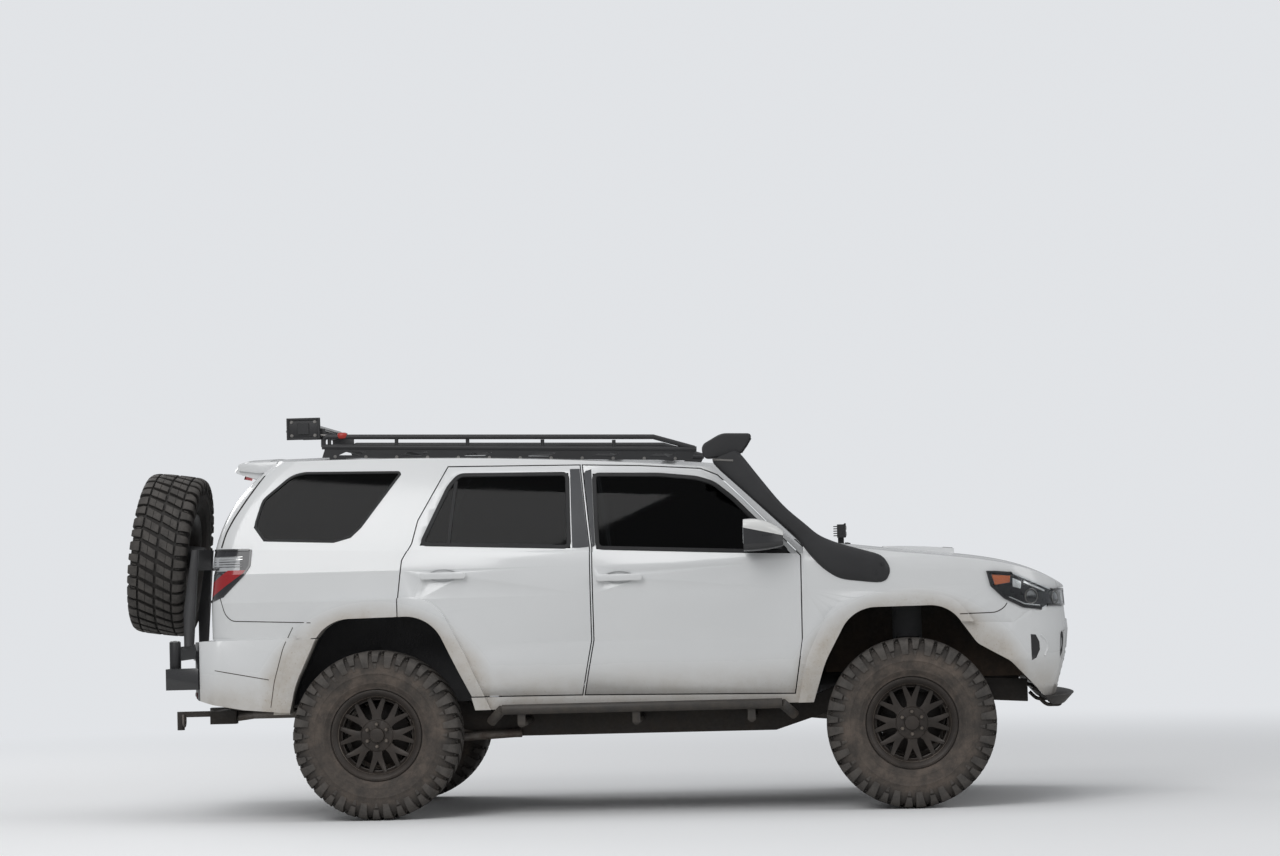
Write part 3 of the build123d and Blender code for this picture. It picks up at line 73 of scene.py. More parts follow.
class Field:
    """A value of a material that is used like a number: each step adds a node."""

    def __init__(self, tree, socket):
        self.tree = tree
        self.socket = socket

    def step(self, kind, output, inputs, **settings):
        node = self.tree.nodes.new(kind)
        for name, value in settings.items():
            setattr(node, name, value)
        for key, value in inputs.items():
            feed(node.inputs[key], value)
        return Field(self.tree, node.outputs[output])

    def maths(self, operation, *other):
        return self.step("ShaderNodeMath", 0, dict(enumerate((self, *other))), operation=operation)

    def __add__(self, other):
        return self.maths("ADD", other)

    def __sub__(self, other):
        return self.maths("SUBTRACT", other)

    def __mul__(self, other):
        return self.maths("MULTIPLY", other)

    def ramp(self, low, high, low_out=0.0, high_out=1.0):
        """The value mapped smoothly from one range to another."""
        ends = {"From Min": low, "From Max": high, "To Min": low_out, "To Max": high_out}
        return self.step("ShaderNodeMapRange", 0, {"Value": self, **ends}, interpolation_type="SMOOTHSTEP")

    def zone(self, low, high, soft=0.0006):
        """1 between two limits, with narrow soft ends."""
        return self.ramp(low - soft, low + soft) * self.ramp(high - soft, high + soft, 1.0, 0.0)

    def mix(self, first, second):
        """A colour between two colours, by this value."""
        return self.step("ShaderNodeMix", 2, {0: self, 6: first, 7: second}, data_type="RGBA")


class Look:
    """A finish: its material and shader, the coordinates of the piece, and the slot of what wears it."""

    def __init__(self, name, slot, inputs):
        self.material = bpy.data.materials.new(name)
        self.material.use_nodes = True
        self.tree = self.material.node_tree
        self.shader = self.tree.nodes["Principled BSDF"]
        self.slot = slot
        self.point = Field(self.tree, self.tree.nodes.new("ShaderNodeTexCoord").outputs["Object"])
        split = self.tree.nodes.new("ShaderNodeSeparateXYZ")
        feed(split.inputs[0], self.point)
        self.x, self.y, self.z = (Field(self.tree, socket) for socket in split.outputs)
        self.set(inputs)

    def set(self, inputs):
        for name, value in inputs.items():
            feed(self.shader.inputs[name], value)

    def noise(self, scale, detail=4.0, roughness=0.55):
        inputs = {"Vector": self.point, "Scale": scale, "Detail": detail, "Roughness": roughness}
        return self.point.step("ShaderNodeTexNoise", "Fac", inputs)

    def attribute(self, name):
        return self.point.step("ShaderNodeAttribute", "Fac", {}, attribute_name=name)

    def bump(self, height, strength, distance):
        inputs = {"Height": height, "Strength": strength, "Distance": distance}
        self.set({"Normal": self.point.step("ShaderNodeBump", "Normal", inputs)})

    def cover(self, where, colour):
        """Another colour where a field is 1."""
        base = Field(self.tree, self.shader.inputs["Base Color"].links[0].from_socket)
        self.set({"Base Color": where.mix(base, colour)})


DUST = (0.36, 0.29, 0.21)
BODY_DUST = (0.40, 0.33, 0.245)
MUD = (0.16, 0.11, 0.075)
WHITES = ((0.725, 0.735, 0.740), (0.785, 0.795, 0.800))


def shaded(colour, share):
    return tuple(min(1.0, c * share) for c in colour)


def finish_of(name, slot, colour, roughness, metallic=0.0, variation=0.15, grain=60.0, bump=0.15,
              depth=0.0006, coat=0.0, dust=None, dust_colour=DUST):
    """A surface with mottled colour, uneven gloss and fine grain. Dust is its share low down, and the
    two heights between which it fades."""
    look = Look(name, slot, {"Metallic": metallic, "Coat Weight": coat, "Coat Roughness": 0.06})
    fine = look.noise(grain, 6.0)
    mottled = look.noise(5.0).ramp(0.3, 0.7)
    base = mottled.mix(shaded(colour, 1.0 - variation), shaded(colour, 1.0 + variation * 0.6))
    gloss = fine.ramp(0.25, 0.75, roughness * 0.85, min(1.0, roughness * 1.15))
    if dust:
        most, low, high = dust
        patchy = look.noise(11.0, 8.0, 0.7).ramp(0.32, 0.68, 0.35, 1.0)
        cover = look.z.ramp(low, high, most, 0.0) * patchy
        base = cover.mix(base, dust_colour)
        gloss = gloss + cover * 0.5
    look.set({"Base Color": base, "Roughness": gloss})
    look.bump(fine, bump, depth)
    return look


def paint_of(name):
    """White paint under clear coat, with beige dust low down and round the wheel arches."""
    look = Look(name, "white_paint", {"Coat Weight": 0.75, "Coat Roughness": 0.12})
    base = look.noise(1.6, 3.0).mix(*WHITES)
    soil = look.z.ramp(0.54, 0.84, 0.72, 0.0)
    up = look.z - AXLE_Z
    for axle in (REAR_X, FRONT_X):
        along = look.x - axle
        distance = (along * along + up * up).maths("SQRT")
        soil = soil.maths("MAXIMUM", distance.ramp(0.60, 0.72, 0.74, 0.0))
    streaks = look.noise(5.0, 9.0, 0.72).ramp(0.20, 0.80, 0.35, 1.0)
    specks = look.noise(95.0, 3.0, 0.6).ramp(0.58, 0.72, 0.0, 0.5)
    cover = (soil * (streaks + specks * soil) + 0.02).maths("MINIMUM", 0.8)
    look.set({"Base Color": cover.mix(base, BODY_DUST), "Roughness": cover * 0.55 + 0.24})
    look.bump(look.noise(340.0, 2.0), 0.05, 0.0003)
    return look


def glass_of(name, slot, tint, roughness=0.02, ior=1.22):
    """A thin pane, tinted right through."""
    look = Look(name, slot, {"Transmission Weight": 1.0, "IOR": ior})
    film = look.noise(3.0, 5.0)
    gloss = film.ramp(0.2, 0.8, roughness, roughness + 0.04)
    look.set({"Base Color": film.mix(shaded(tint, 0.92), tint), "Roughness": gloss})
    return look


def rubber_of(name, soil=1.0):
    """Tyre rubber: brown dust on the sidewall, greyer dusty lugs, dark grooves."""
    look = Look(name, "tyre", {})
    radius = look.attribute("axle_distance")
    worn = look.attribute("raised")
    patchy = look.noise(14.0, 8.0, 0.7).ramp(0.30, 0.70, 0.25, 1.0)
    fine = look.noise(130.0, 6.0)
    wall = radius.ramp(0.350, 0.385, 0.90, 0.34) * patchy
    groove = radius.ramp(0.426, 0.438, 0.55, 0.15)
    cover = wall.maths("MAXIMUM", groove * (patchy * fine)) * soil
    dust = look.noise(6.0, 4.0).ramp(0.35, 0.65).mix((0.098, 0.080, 0.067), (0.150, 0.118, 0.096))
    rubber = fine.mix((0.020, 0.019, 0.018), (0.040, 0.037, 0.035))
    rubber = (worn * patchy.ramp(0.2, 1.0, 0.35, 0.85)).mix(rubber, (0.098, 0.090, 0.083))
    cover = cover * (worn * -0.55 + 1.0)
    look.set({"Base Color": cover.mix(rubber, dust), "Roughness": fine.ramp(0.2, 0.8, 0.66, 0.92)})
    look.bump(look.noise(260.0, 5.0), 0.35, 0.0012)
    return look


def cloth_of(name, colour):
    """Seat cloth: a fine weave with a soft sheen and slow changes of shade."""
    look = Look(name, "seat_fabric", {"Sheen Weight": 0.35, "Sheen Roughness": 0.5, "Roughness": 0.85})
    weave = (look.y * 2600.0).maths("SINE") * ((look.x + look.z) * 2600.0).maths("SINE")
    look.set({"Base Color": look.noise(9.0, 5.0).ramp(0.3, 0.7).mix(shaded(colour, 0.7), colour)})
    look.bump(weave, 0.4, 0.0006)
    return look


def moulding_of(name, slot, colour, roughness, coat):
    """A glossy moulding of one colour, which others may cover in places."""
    look = Look(name, slot, {"Roughness": roughness, "Coat Weight": coat, "Coat Roughness": 0.04})
    fine = look.noise(160.0, 4.0)
    look.set({"Base Color": fine.mix(shaded(colour, 0.9), colour)})
    look.bump(fine, 0.10, 0.0004)
    return look


DARK_TINT = (0.012, 0.013, 0.014)
paint = paint_of("white_paint")
tinted = glass_of("tinted_glass", "glass", DARK_TINT)
lens_clear = glass_of("clear_lens", "headlamp", (0.93, 0.95, 0.96), ior=1.18)
lens_red = glass_of("red_lens", "tail_lamp", (0.55, 0.015, 0.02), 0.04)
lens_amber = finish_of("amber_lens", "tail_lamp", (0.52, 0.11, 0.02), 0.18, coat=0.8, grain=40.0, bump=0.3)
black_trim = finish_of("black_trim", "black_trim", (0.026, 0.026, 0.028), 0.55, grain=420.0, bump=0.35,
                       dust=(0.08, 0.45, 0.95))
gloss_black = finish_of("gloss_black", "black_trim", (0.018, 0.018, 0.020), 0.16, coat=0.9, grain=90.0,
                        bump=0.03)
seal = finish_of("rubber_seal", "black_trim", (0.020, 0.020, 0.021), 0.70, grain=300.0)
coat_black = finish_of("powder_coat", "black_coat", (0.024, 0.024, 0.026), 0.48, grain=520.0, bump=0.5,
                       dust=(0.22, 0.35, 0.85))
chassis_black = finish_of("chassis_black", "frame_black", (0.030, 0.028, 0.027), 0.62, grain=70.0, bump=0.4,
                          depth=0.001, dust=(0.45, 0.20, 0.95), dust_colour=(0.10, 0.075, 0.055))
steel = finish_of("bare_steel", "bare_steel", (0.26, 0.25, 0.24), 0.42, metallic=0.9, grain=120.0,
                  dust=(0.8, 0.2, 0.95), dust_colour=MUD)
bright = finish_of("bright_metal", "bare_steel", (0.62, 0.62, 0.61), 0.22, metallic=1.0, grain=200.0,
                   bump=0.06)
wheel_black = finish_of("wheel_black", "rim", (0.028, 0.024, 0.022), 0.40, metallic=0.25, variation=0.35,
                        grain=160.0, bump=0.2, dust=(0.24, 0.10, 1.60), dust_colour=(0.15, 0.115, 0.09))
rim_metal = finish_of("rim_metal", "rim", (0.22, 0.19, 0.165), 0.38, metallic=0.8, variation=0.3, grain=200.0)
cast_iron = finish_of("engine_cast", "engine", (0.16, 0.16, 0.165), 0.5, metallic=0.8, grain=80.0, bump=0.4)
liner_black = finish_of("liner_black", "black_trim", (0.020, 0.019, 0.018), 0.85, grain=60.0, bump=0.5,
                        depth=0.002, dust=(0.6, 0.4, 1.3), dust_colour=MUD)
cabin_trim = finish_of("cabin_trim", "interior", (0.040, 0.040, 0.042), 0.62, grain=380.0, bump=0.4)
carpet = finish_of("floor_sheet", "floor_pan", (0.045, 0.045, 0.047), 0.9, grain=240.0, bump=0.7, depth=0.002)
cloth = cloth_of("seat_cloth", (0.060, 0.062, 0.066))
red_plastic = finish_of("red_knob", "tail_lamp", (0.42, 0.03, 0.02), 0.35, grain=90.0)
mirror_glass = finish_of("mirror_glass", "glass", (0.75, 0.77, 0.78), 0.03, metallic=1.0, variation=0.03,
                         grain=30.0, bump=0.0)
plate_white = finish_of("plate_bare", "white_paint", (0.62, 0.62, 0.60), 0.4, grain=90.0,
                        dust=(0.4, 0.5, 1.3))
lamp_bowl = finish_of("lamp_bowl", "headlamp", (0.020, 0.020, 0.022), 0.30, grain=60.0, bump=0.2)
pillar_black = finish_of("pillar_film", "black_trim", (0.040, 0.042, 0.047), 0.38, grain=300.0, bump=0.1)

# The doors' paint, with dark moulded trim on the side towards the cabin
door_paint = paint_of("door_paint")
within = door_paint.y.maths("ABSOLUTE").ramp(0.846, 0.852, 1.0, 0.0)
lining = within * door_paint.z.ramp(1.330, 1.336, 1.0, 0.0)
door_gloss = Field(door_paint.tree, door_paint.shader.inputs["Roughness"].links[0].from_socket)
door_paint.cover(lining, (0.035, 0.035, 0.037))
door_paint.set({"Roughness": door_gloss.maths("MAXIMUM", lining * 0.62)})

# Tail lamps: clear above, fine upright ribs, and a slanting red band along the lower edge
tail_lamp = moulding_of("tail_lamp", "tail_lamp", (0.022, 0.022, 0.026), 0.20, 0.3)
above = tail_lamp.z - 1.131 - (tail_lamp.x + 2.055) * 0.69
ribs = ((tail_lamp.x + tail_lamp.y) * 700.0).maths("SINE").ramp(-0.2, 0.6)
tail_lamp.cover(tail_lamp.z.zone(1.318, 1.392) * tail_lamp.x.zone(-3.0, -1.822), (0.42, 0.43, 0.44))
tail_lamp.cover(above.zone(0.075, 0.5) * tail_lamp.z.zone(1.0, 1.312) * ribs, (0.10, 0.10, 0.105))
tail_lamp.cover(above.zone(0.002, 0.075) * tail_lamp.z.zone(1.0, 1.322), (0.34, 0.012, 0.016))

# Mirrors: a painted cap on the upper part, its edge lower towards the front
mirror_shell = moulding_of("mirror_shell", "black_trim", (0.024, 0.024, 0.026), 0.30, 0.7)
cap_line = mirror_shell.z + (mirror_shell.x - 0.93) * 0.22
mirror_shell.cover(cap_line.zone(1.452, 3.0), (0.77, 0.77, 0.755))

# Fixed glass: the windscreen a little lighter than the quarter windows
fixed_panes = glass_of("fixed_panes", "glass", DARK_TINT)
fixed_panes.cover(fixed_panes.x.ramp(0.0, 0.1), (0.060, 0.065, 0.065))

# Rear bumper: black coating on the bracket of the spare carrier
bumper_paint = paint_of("rear_bumper_paint")
bracket = bumper_paint.x.ramp(-2.054, -2.052, 1.0, 0.0) * bumper_paint.y.ramp(-0.712, -0.710, 1.0, 0.0)
bumper_paint.cover(bracket, (0.028, 0.028, 0.030))

SLOT_FINISH = {
    "white_paint": paint, "glass": tinted, "black_trim": black_trim, "headlamp": lens_clear,
    "tail_lamp": lens_red, "black_coat": coat_black, "bare_steel": steel, "frame_black": chassis_black,
    "engine": cast_iron, "seat_fabric": cloth, "interior": cabin_trim, "tyre": black_trim,
    "rim": wheel_black, "floor_pan": carpet,
}
NODE_FINISH = {
    "arch_liners": liner_black, "lift_jack": coat_black, "headlamps": lamp_bowl, "tail_lamps": tail_lamp,
    "mirror_left": mirror_shell, "mirror_right": mirror_shell, "fixed_glass": fixed_panes,
    "rear_bumper": bumper_paint, "door_front_left": door_paint, "door_front_right": door_paint,
    "door_rear_left": door_paint, "door_rear_right": door_paint,
}
slot_of = {entry["node"]: entry["material_slot"] for entry in frame["record"]["subparts"]}


# Pieces

def circle(sides, radius=1.0):
    """Points (x, y) evenly round a circle."""
    turns = [2 * math.pi * k / sides for k in range(sides)]
    return [(radius * math.cos(turn), radius * math.sin(turn)) for turn in turns]


def rectangle(low_a, high_a, low_b, high_b):
    """An outline between two pairs of limits."""
    return [(low_a, low_b), (high_a, low_b), (high_a, high_b), (low_a, high_b)]


class Form:
    """Vertices and faces of one piece, gathered shape by shape in local frames."""

    def __init__(self):
        self.verts = []
        self.faces = []
        self.raised = []

    def add(self, verts, faces, at=None):
        """A shape in a frame, or about a place."""
        if at is not None and not isinstance(at, Matrix):
            at = Matrix.Translation(at)
        start = len(self.verts)
        self.verts.extend([at @ Vector(v) for v in verts] if at else [Vector(v) for v in verts])
        self.faces.extend([[start + i for i in face] for face in faces])
        return self

    def loft(self, sections, closed=False, at=None):
        """Sections of equally many points joined in turn: to a ring, or with an end face on both."""
        count = len(sections[0])
        turns = len(sections)
        faces = []
        for k in range(turns if closed else turns - 1):
            here, there = k * count, (k + 1) % turns * count
            faces += [[here + i, here + (i + 1) % count, there + (i + 1) % count, there + i]
                      for i in range(count)]
        if not closed:
            faces += [list(range(count))[::-1], [(turns - 1) * count + i for i in range(count)]]
        return self.add([point for section in sections for point in section], faces, at)

    def prism(self, outline, low, high, at=None, taper=1.0):
        """An outline (x, y) pushed along Z from low to high, its far end scaled about its middle."""
        mid_x, mid_y = (sum(p[axis] for p in outline) / len(outline) for axis in (0, 1))
        near = [(x, y, low) for x, y in outline]
        far = [(mid_x + (x - mid_x) * taper, mid_y + (y - mid_y) * taper, high) for x, y in outline]
        return self.loft([near, far], at=at)

    def block(self, size, at=None, centre=(0, 0, 0)):
        """A block about a centre; its edges are rounded when the piece is finished."""
        half_x, half_y, half_z = (value / 2 for value in size)
        x, y, z = centre
        corners = rectangle(x - half_x, x + half_x, y - half_y, y + half_y)
        return self.prism(corners, z - half_z, z + half_z, at)

    def round(self, radius, low, high, at=None, sides=20, taper=1.0):
        """A round bar along Z."""
        return self.prism(circle(sides, radius), low, high, at, taper)

    def turned(self, profile, at=None, sides=48):
        """A closed ring whose section (radius, z) is turned about Z."""
        return self.loft([[(r * u, r * v, z) for r, z in profile] for u, v in circle(sides)], True, at)

    def bolt(self, at, radius=0.008, height=0.006):
        """A hexagon head on its washer."""
        self.round(radius * 1.45, -0.001, 0.0015, at, 16)
        return self.round(radius, 0.001, height, at, 6, 0.94)

    def dome(self, at, radius, height, steps=6, sides=28):
        """A shallow dome on a flat foot."""
        turns = [0.5 * math.pi * k / steps for k in range(1, steps + 1)]
        profile = [(0.0001, height)] + [(radius * math.sin(t), height * math.cos(t)) for t in turns]
        return self.turned(profile + [(radius, -0.002), (0.0001, -0.002)], at, sides)

    def ring(self, at, radius, width, height):
        """A raised ring about Z."""
        return self.turned([(radius - width, -0.001), (radius - width, height * 0.8),
                            (radius - width / 2, height), (radius, height * 0.8), (radius, -0.001)], at, 40)


def link(obj):
    scene.collection.objects.link(obj)
    return obj


def keep(obj, finish, body, slot=None):
    """Gives a piece its finish, and lets it ride on its body."""
    obj.data.materials.clear()
    obj.data.materials.append(finish.material)
    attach(obj, body)
    slot or finish.slot
    return obj


def smoothed(mesh, angle):
    """Faces turned outward, shaded smooth up to an angle in degrees."""
    work = bmesh.new()
    work.from_mesh(mesh)
    bmesh.ops.recalc_face_normals(work, faces=work.faces)
    work.to_mesh(mesh)
    work.free()
    mesh.shade_smooth()
    mesh.set_sharp_from_angle(angle=math.radians(angle))


def soften(obj, width):
    """Rounds a piece's sharp edges."""
    bevel = obj.modifiers.new("edge", "BEVEL")
    bevel.width = width
    bevel.segments = 2
    bevel.limit_method = "ANGLE"
    bevel.angle_limit = BEVEL_ANGLE
    bevel.harden_normals = True


def made(form, name, finish, body="chassis", bevel=0.0, slot=None, smooth_angle=38.0):
    """A finished piece from a form."""
    mesh = bpy.data.meshes.new(name)
    mesh.from_pydata(form.verts, [], form.faces)
    smoothed(mesh, smooth_angle)
    obj = link(bpy.data.objects.new(name, mesh))
    if bevel:
        soften(obj, bevel)
    return keep(obj, finish, body, slot)


def facing(origin, normal, up=UP):
    """The frame on a surface: Z along the normal, Y near to up."""
    z = Vector(normal).normalized()
    x = Vector(up).cross(z).normalized()
    return framed((x, z.cross(x), z), origin)


def framed(axes, origin):
    """A frame from its three axes and its origin."""
    matrix = Matrix(axes).transposed().to_4x4()
    matrix.translation = Vector(origin)
    return matrix


def turned_at(place, turn):
    """The frame at a place, turned about Y."""
    return Matrix.Translation(place) @ Matrix.Rotation(turn, 4, "Y")


CORNER_SHARE = 0.45


def rounded(points, radius, closed=False, steps=5):
    """A path with its corners rounded, by arcs no longer than half of each run."""
    points = [Vector(p) for p in points]
    count = len(points)
    path = []
    for i, corner in enumerate(points):
        if not closed and i in (0, count - 1):
            path.append(corner)
            continue
        before = points[i - 1] - corner
        after = points[(i + 1) % count] - corner
        reach = min(radius, before.length * CORNER_SHARE, after.length * CORNER_SHARE)
        start = corner + before.normalized() * reach
        end = corner + after.normalized() * reach
        for k in range(steps + 1):
            t = k / steps
            path.append(start.lerp(corner, t).lerp(corner.lerp(end, t), t))
    return path


def wire(name, points, radius, finish, body="chassis", closed=False, sides=4, slot=None):
    """A round bar along a path."""
    curve = bpy.data.curves.new(name, "CURVE")
    curve.dimensions = "3D"
    curve.bevel_depth = radius
    curve.bevel_resolution = sides
    curve.use_fill_caps = not closed
    spline = curve.splines.new("POLY")
    spline.points.add(len(points) - 1)
    for point, place in zip(spline.points, points):
        point.co = (*place, 1.0)
    spline.use_cyclic_u = closed
    spline.use_smooth = True
    obj = link(bpy.data.objects.new(name, curve))
    bpy.context.view_layer.update()
    mesh = bpy.data.meshes.new_from_object(obj.evaluated_get(bpy.context.evaluated_depsgraph_get()))
    bpy.data.objects.remove(obj)
    bpy.data.curves.remove(curve)
    return keep(link(bpy.data.objects.new(name, mesh)), finish, body, slot)


# Surfaces that pieces lie on
trees = {}


def surface(*names):
    """A search tree over the faces of some nodes, made once."""
    if names not in trees:
        form = Form()
        for name in names:
            mesh = nodes[name].data
            form.add([v.co.copy() for v in mesh.vertices], [face.vertices for face in mesh.polygons])
        trees[names] = BVHTree.FromPolygons(form.verts, form.faces)
    return trees[names]


def cast(start, along, *names):
    """A function of two coordinates: where a ray meets a surface, and the normal back along it.
    The ray starts at start(a, b)."""
    along = Vector(along)

    def meet(a, b):
        place, normal, _, _ = surface(*names).ray_cast(Vector(start(a, b)), along)
        if place is None:
            return None, None
        return place, -normal if normal.dot(along) > 0 else normal

    return meet


def side_cast(side, *names):
    """From outside a side, at (x, z)."""
    return cast(lambda x, z: (x, side * RAY_START, z), (0, -side, 0), *names)


def end_cast(end, *names):
    """From beyond the front (1) or the rear (-1), at (y, z)."""
    return cast(lambda y, z: (end * RAY_START, y, z), (-end, 0, 0), *names)


def top_cast(*names):
    """From above, at (x, y)."""
    return cast(lambda x, y: (x, y, RAY_START), (0, 0, -1), *names)


def nearest(guess, *names):
    """The surface point nearest to a guess outside it, and the normal towards the guess."""
    place, normal, _, _ = surface(*names).find_nearest(Vector(guess))
    return place, -normal if normal.dot(Vector(guess) - place) < 0 else normal


def inside(point, boundary):
    """Whether a point lies in a closed outline."""
    found = False
    for a, b in zip(boundary, boundary[1:] + boundary[:1]):
        if (a[1] > point[1]) != (b[1] > point[1]):
            if point[0] < a[0] + (point[1] - a[1]) * (b[0] - a[0]) / (b[1] - a[1]):
                found = not found
    return found


def settled(meet, point, middle, tries=12, share=0.02):
    """The surface under a point, or under the nearest point on the way to the middle that has some."""
    for k in range(tries):
        near = point.lerp(middle, share * k)
        place, normal = meet(near.x, near.y)
        if place is not None:
            return place, normal
    raise ValueError("no surface under the outline")


# How far a sheet's inner points stay from its boundary, as a share of their spacing
CLEAR_SHARE = 0.45


def patch(name, outline, meet, lift, thickness, finish, body="chassis", spacing=0.02, slot=None, bevel=0.0):
    """A closed sheet that follows a surface inside an outline of two coordinates."""
    boundary = []
    for (a, b), (c, d) in zip(outline, outline[1:] + outline[:1]):
        parts = max(1, int(math.hypot(c - a, d - b) / spacing))
        boundary += [Vector((a + (c - a) * k / parts, b + (d - b) * k / parts)) for k in range(parts)]
    (low_a, high_a), (low_b, high_b) = ((min(values), max(values)) for values in zip(*outline))
    inner = []
    for i in range(int((high_a - low_a) / spacing) + 1):
        for j in range(int((high_b - low_b) / spacing) + 1):
            point = Vector((low_a + (i + 0.5) * spacing, low_b + (j + 0.5) * spacing))
            if not inside(point, boundary):
                continue
            if min((point - q).length for q in boundary) > spacing * CLEAR_SHARE:
                inner.append(point)
    count = len(boundary)
    flat, _, cells, *_ = delaunay_2d_cdt(boundary + inner, [], [list(range(count))], 1, 1e-6)
    middle = sum(boundary, Vector((0, 0))) / count
    under = [settled(meet, Vector(point[:2]), middle) for point in flat]
    size = len(flat)
    faces = [list(cell) for cell in cells] + [[size + i for i in reversed(cell)] for cell in cells]
    edges = {edge: True for cell in cells for edge in zip(cell, list(cell[1:]) + [cell[0]])}
    faces += [[b, a, size + a, size + b] for a, b in edges if (b, a) not in edges]
    verts = [place + normal * level for level in (lift, lift - thickness) for place, normal in under]
    return made(Form().add(verts, faces), name, finish, body, bevel, slot)


def offset(outline, distance):
    """An outline moved inward by a distance, or outward where it is negative."""
    area = sum(a[0] * b[1] - b[0] * a[1] for a, b in zip(outline, outline[1:] + outline[:1]))
    turn = 1 if area > 0 else -1
    points = []
    for i, point in enumerate(outline):
        here = Vector(point)
        back = (here - Vector(outline[i - 1])).normalized()
        on = (Vector(outline[(i + 1) % len(outline)]) - here).normalized()
        inward = Vector((-back.y - on.y, back.x + on.x)) * turn
        points.append(tuple(here + inward.normalized() * (distance / max(0.4, inward.length / 2))))
    return points


def laid(outline, meet, spacing=0.03, corner=0.0, closed=False):
    """Where a line of two coordinates lies on a surface: its points, its normals and whether it closes."""
    line = [Vector((a, b, 0)) for a, b in outline]
    if corner:
        line = rounded(line, corner, closed)
    points = []
    for start, end in zip(line, line[1:] + line[:1] if closed else line[1:]):
        parts = max(1, round((end - start).length / spacing))
        points += [start.lerp(end, k / parts) for k in range(parts)]
    found = [meet(point.x, point.y) for point in (points if closed else points + [line[-1]])]
    found = [pair for pair in found if pair[0] is not None]
    return [place for place, _ in found], [normal for _, normal in found], closed


def strip(name, line, width, thickness, finish, body="chassis", slot=None, sink=0.002, shoulder=0.78):
    """A flat bar along a line on a surface, its upper edges drawn in."""
    places, normals, closed = line
    count = len(places)
    sections = []
    for i, (place, normal) in enumerate(zip(places, normals)):
        before = places[i - 1] if i or closed else place
        after = places[(i + 1) % count] if i < count - 1 or closed else place
        across = normal.cross(after - before).normalized() * width / 2
        low = place - normal * sink
        high = place + normal * thickness
        sections.append([low - across, low + across, high + across * shoulder, high - across * shoulder])
    return made(Form().loft(sections, closed), name, finish, body, slot=slot, smooth_angle=50.0)


def bolted(meet, spots, radius, height, form=None, lift=0.0):
    """Bolts at the spots where a surface is met."""
    form = form or Form()
    for a, b in spots:
        place, normal = meet(a, b)
        if place is not None:
            form.bolt(facing(place + normal * lift, normal), radius, height)
    return form


class Skin:
    """The outward faces of a node on one side, as an open surface with smooth normals."""

    def __init__(self, node, keeps):
        work = bmesh.new()
        work.from_mesh(nodes[node].data)
        bmesh.ops.remove_doubles(work, verts=work.verts, dist=WELD_DISTANCE)
        work.normal_update()
        dropped = [face for face in work.faces if not keeps(face.calc_center_median(), face.normal)]
        bmesh.ops.delete(work, geom=dropped, context="FACES")
        work.normal_update()
        work.verts.index_update()
        self.points = [vert.co.copy() for vert in work.verts]
        self.normals = [vert.normal.copy() for vert in work.verts]
        self.faces = [[vert.index for vert in face.verts] for face in work.faces]
        rims = {tuple(vert.index for vert in edge.verts) for edge in work.edges if edge.is_boundary}
        self.rims = self.loops(rims)
        work.free()

    def loops(self, edges):
        """The boundary edges joined into closed loops of vertex numbers."""
        links = {}
        for a, b in edges:
            links.setdefault(a, []).append(b)
            links.setdefault(b, []).append(a)
        left = set(links)
        found = []
        while left:
            loop = [min(left)]
            following = loop
            while following:
                left.discard(loop[-1])
                following = [v for v in links[loop[-1]] if v in left]
                loop += following[:1]
            if len(loop) > 4:
                found.append(loop)
        return found

    def sheet(self, name, low, high, finish):
        """A sheet over the surface between two heights above it."""
        count = len(self.points)
        faces = [list(face) for face in self.faces] + [[count + i for i in face[::-1]] for face in self.faces]
        for rim in self.rims:
            faces += [[a, b, count + b, count + a] for a, b in zip(rim, rim[1:] + rim[:1])]
        verts = [p + n * level for level in (high, low) for p, n in zip(self.points, self.normals)]
        return made(Form().add(verts, faces), name, finish)

    def edging(self, name, width, thickness, finish):
        """A strip round the surface's longest rim."""
        rim = max(self.rims, key=len)
        line = ([self.points[i] for i in rim], [self.normals[i] for i in rim], True)
        return strip(name, line, width, thickness, finish)


def mirrored(side, points):
    """Points of the left half moved to a side."""
    return [(x, side * y, z) for x, y, z in points]


def at_rear_axle(*pairs):
    """Pairs (x, z) in millimetres, x from the rear axle."""
    return [(REAR_X + x / 1000, z / 1000) for x, z in pairs]


def at_front_axle(*pairs):
    """Pairs (x, z) in millimetres, x from the front axle."""
    return [(FRONT_X + x / 1000, z / 1000) for x, z in pairs]


# Finishes and softened edges of the modelled nodes
EDGE_WIDTHS = {
    "door_front": 0.0025, "door_rear": 0.0025, "hood": 0.0025, "tailgate": 0.0025, "front_wing": 0.0025,
    "spare_carrier": 0.003, "hitch": 0.003, "rock_sliders": 0.0015, "lift_jack": 0.0015, "knuckle": 0.003,
    "rim": 0.0018, "ladder_frame": 0.004, "rear_axle": 0.003, "powertrain": 0.012, "fuel_tank": 0.006,
    "dashboard": 0.008, "rear_bumper": 0.003, "front_bumper": 0.003, "spare_rim": 0.0018, "grille": 0.002,
}
NODE_SMOOTH = math.radians(30.0)
for name, node in nodes.items():
    node.data.materials.clear()
    node.data.materials.append(NODE_FINISH.get(name, SLOT_FINISH[slot_of[name]]).material)
    node.data.shade_smooth()
    node.data.set_sharp_from_angle(angle=NODE_SMOOTH)
    edge = next((width for start, width in EDGE_WIDTHS.items() if name.startswith(start)), None)
    if edge and "glass" not in name:
        weld = node.modifiers.new("weld", "WELD")
        weld.merge_threshold = WELD_DISTANCE
        soften(node, edge)

# Tyres
PITCHES = 20
PITCH = 2 * math.pi / PITCHES
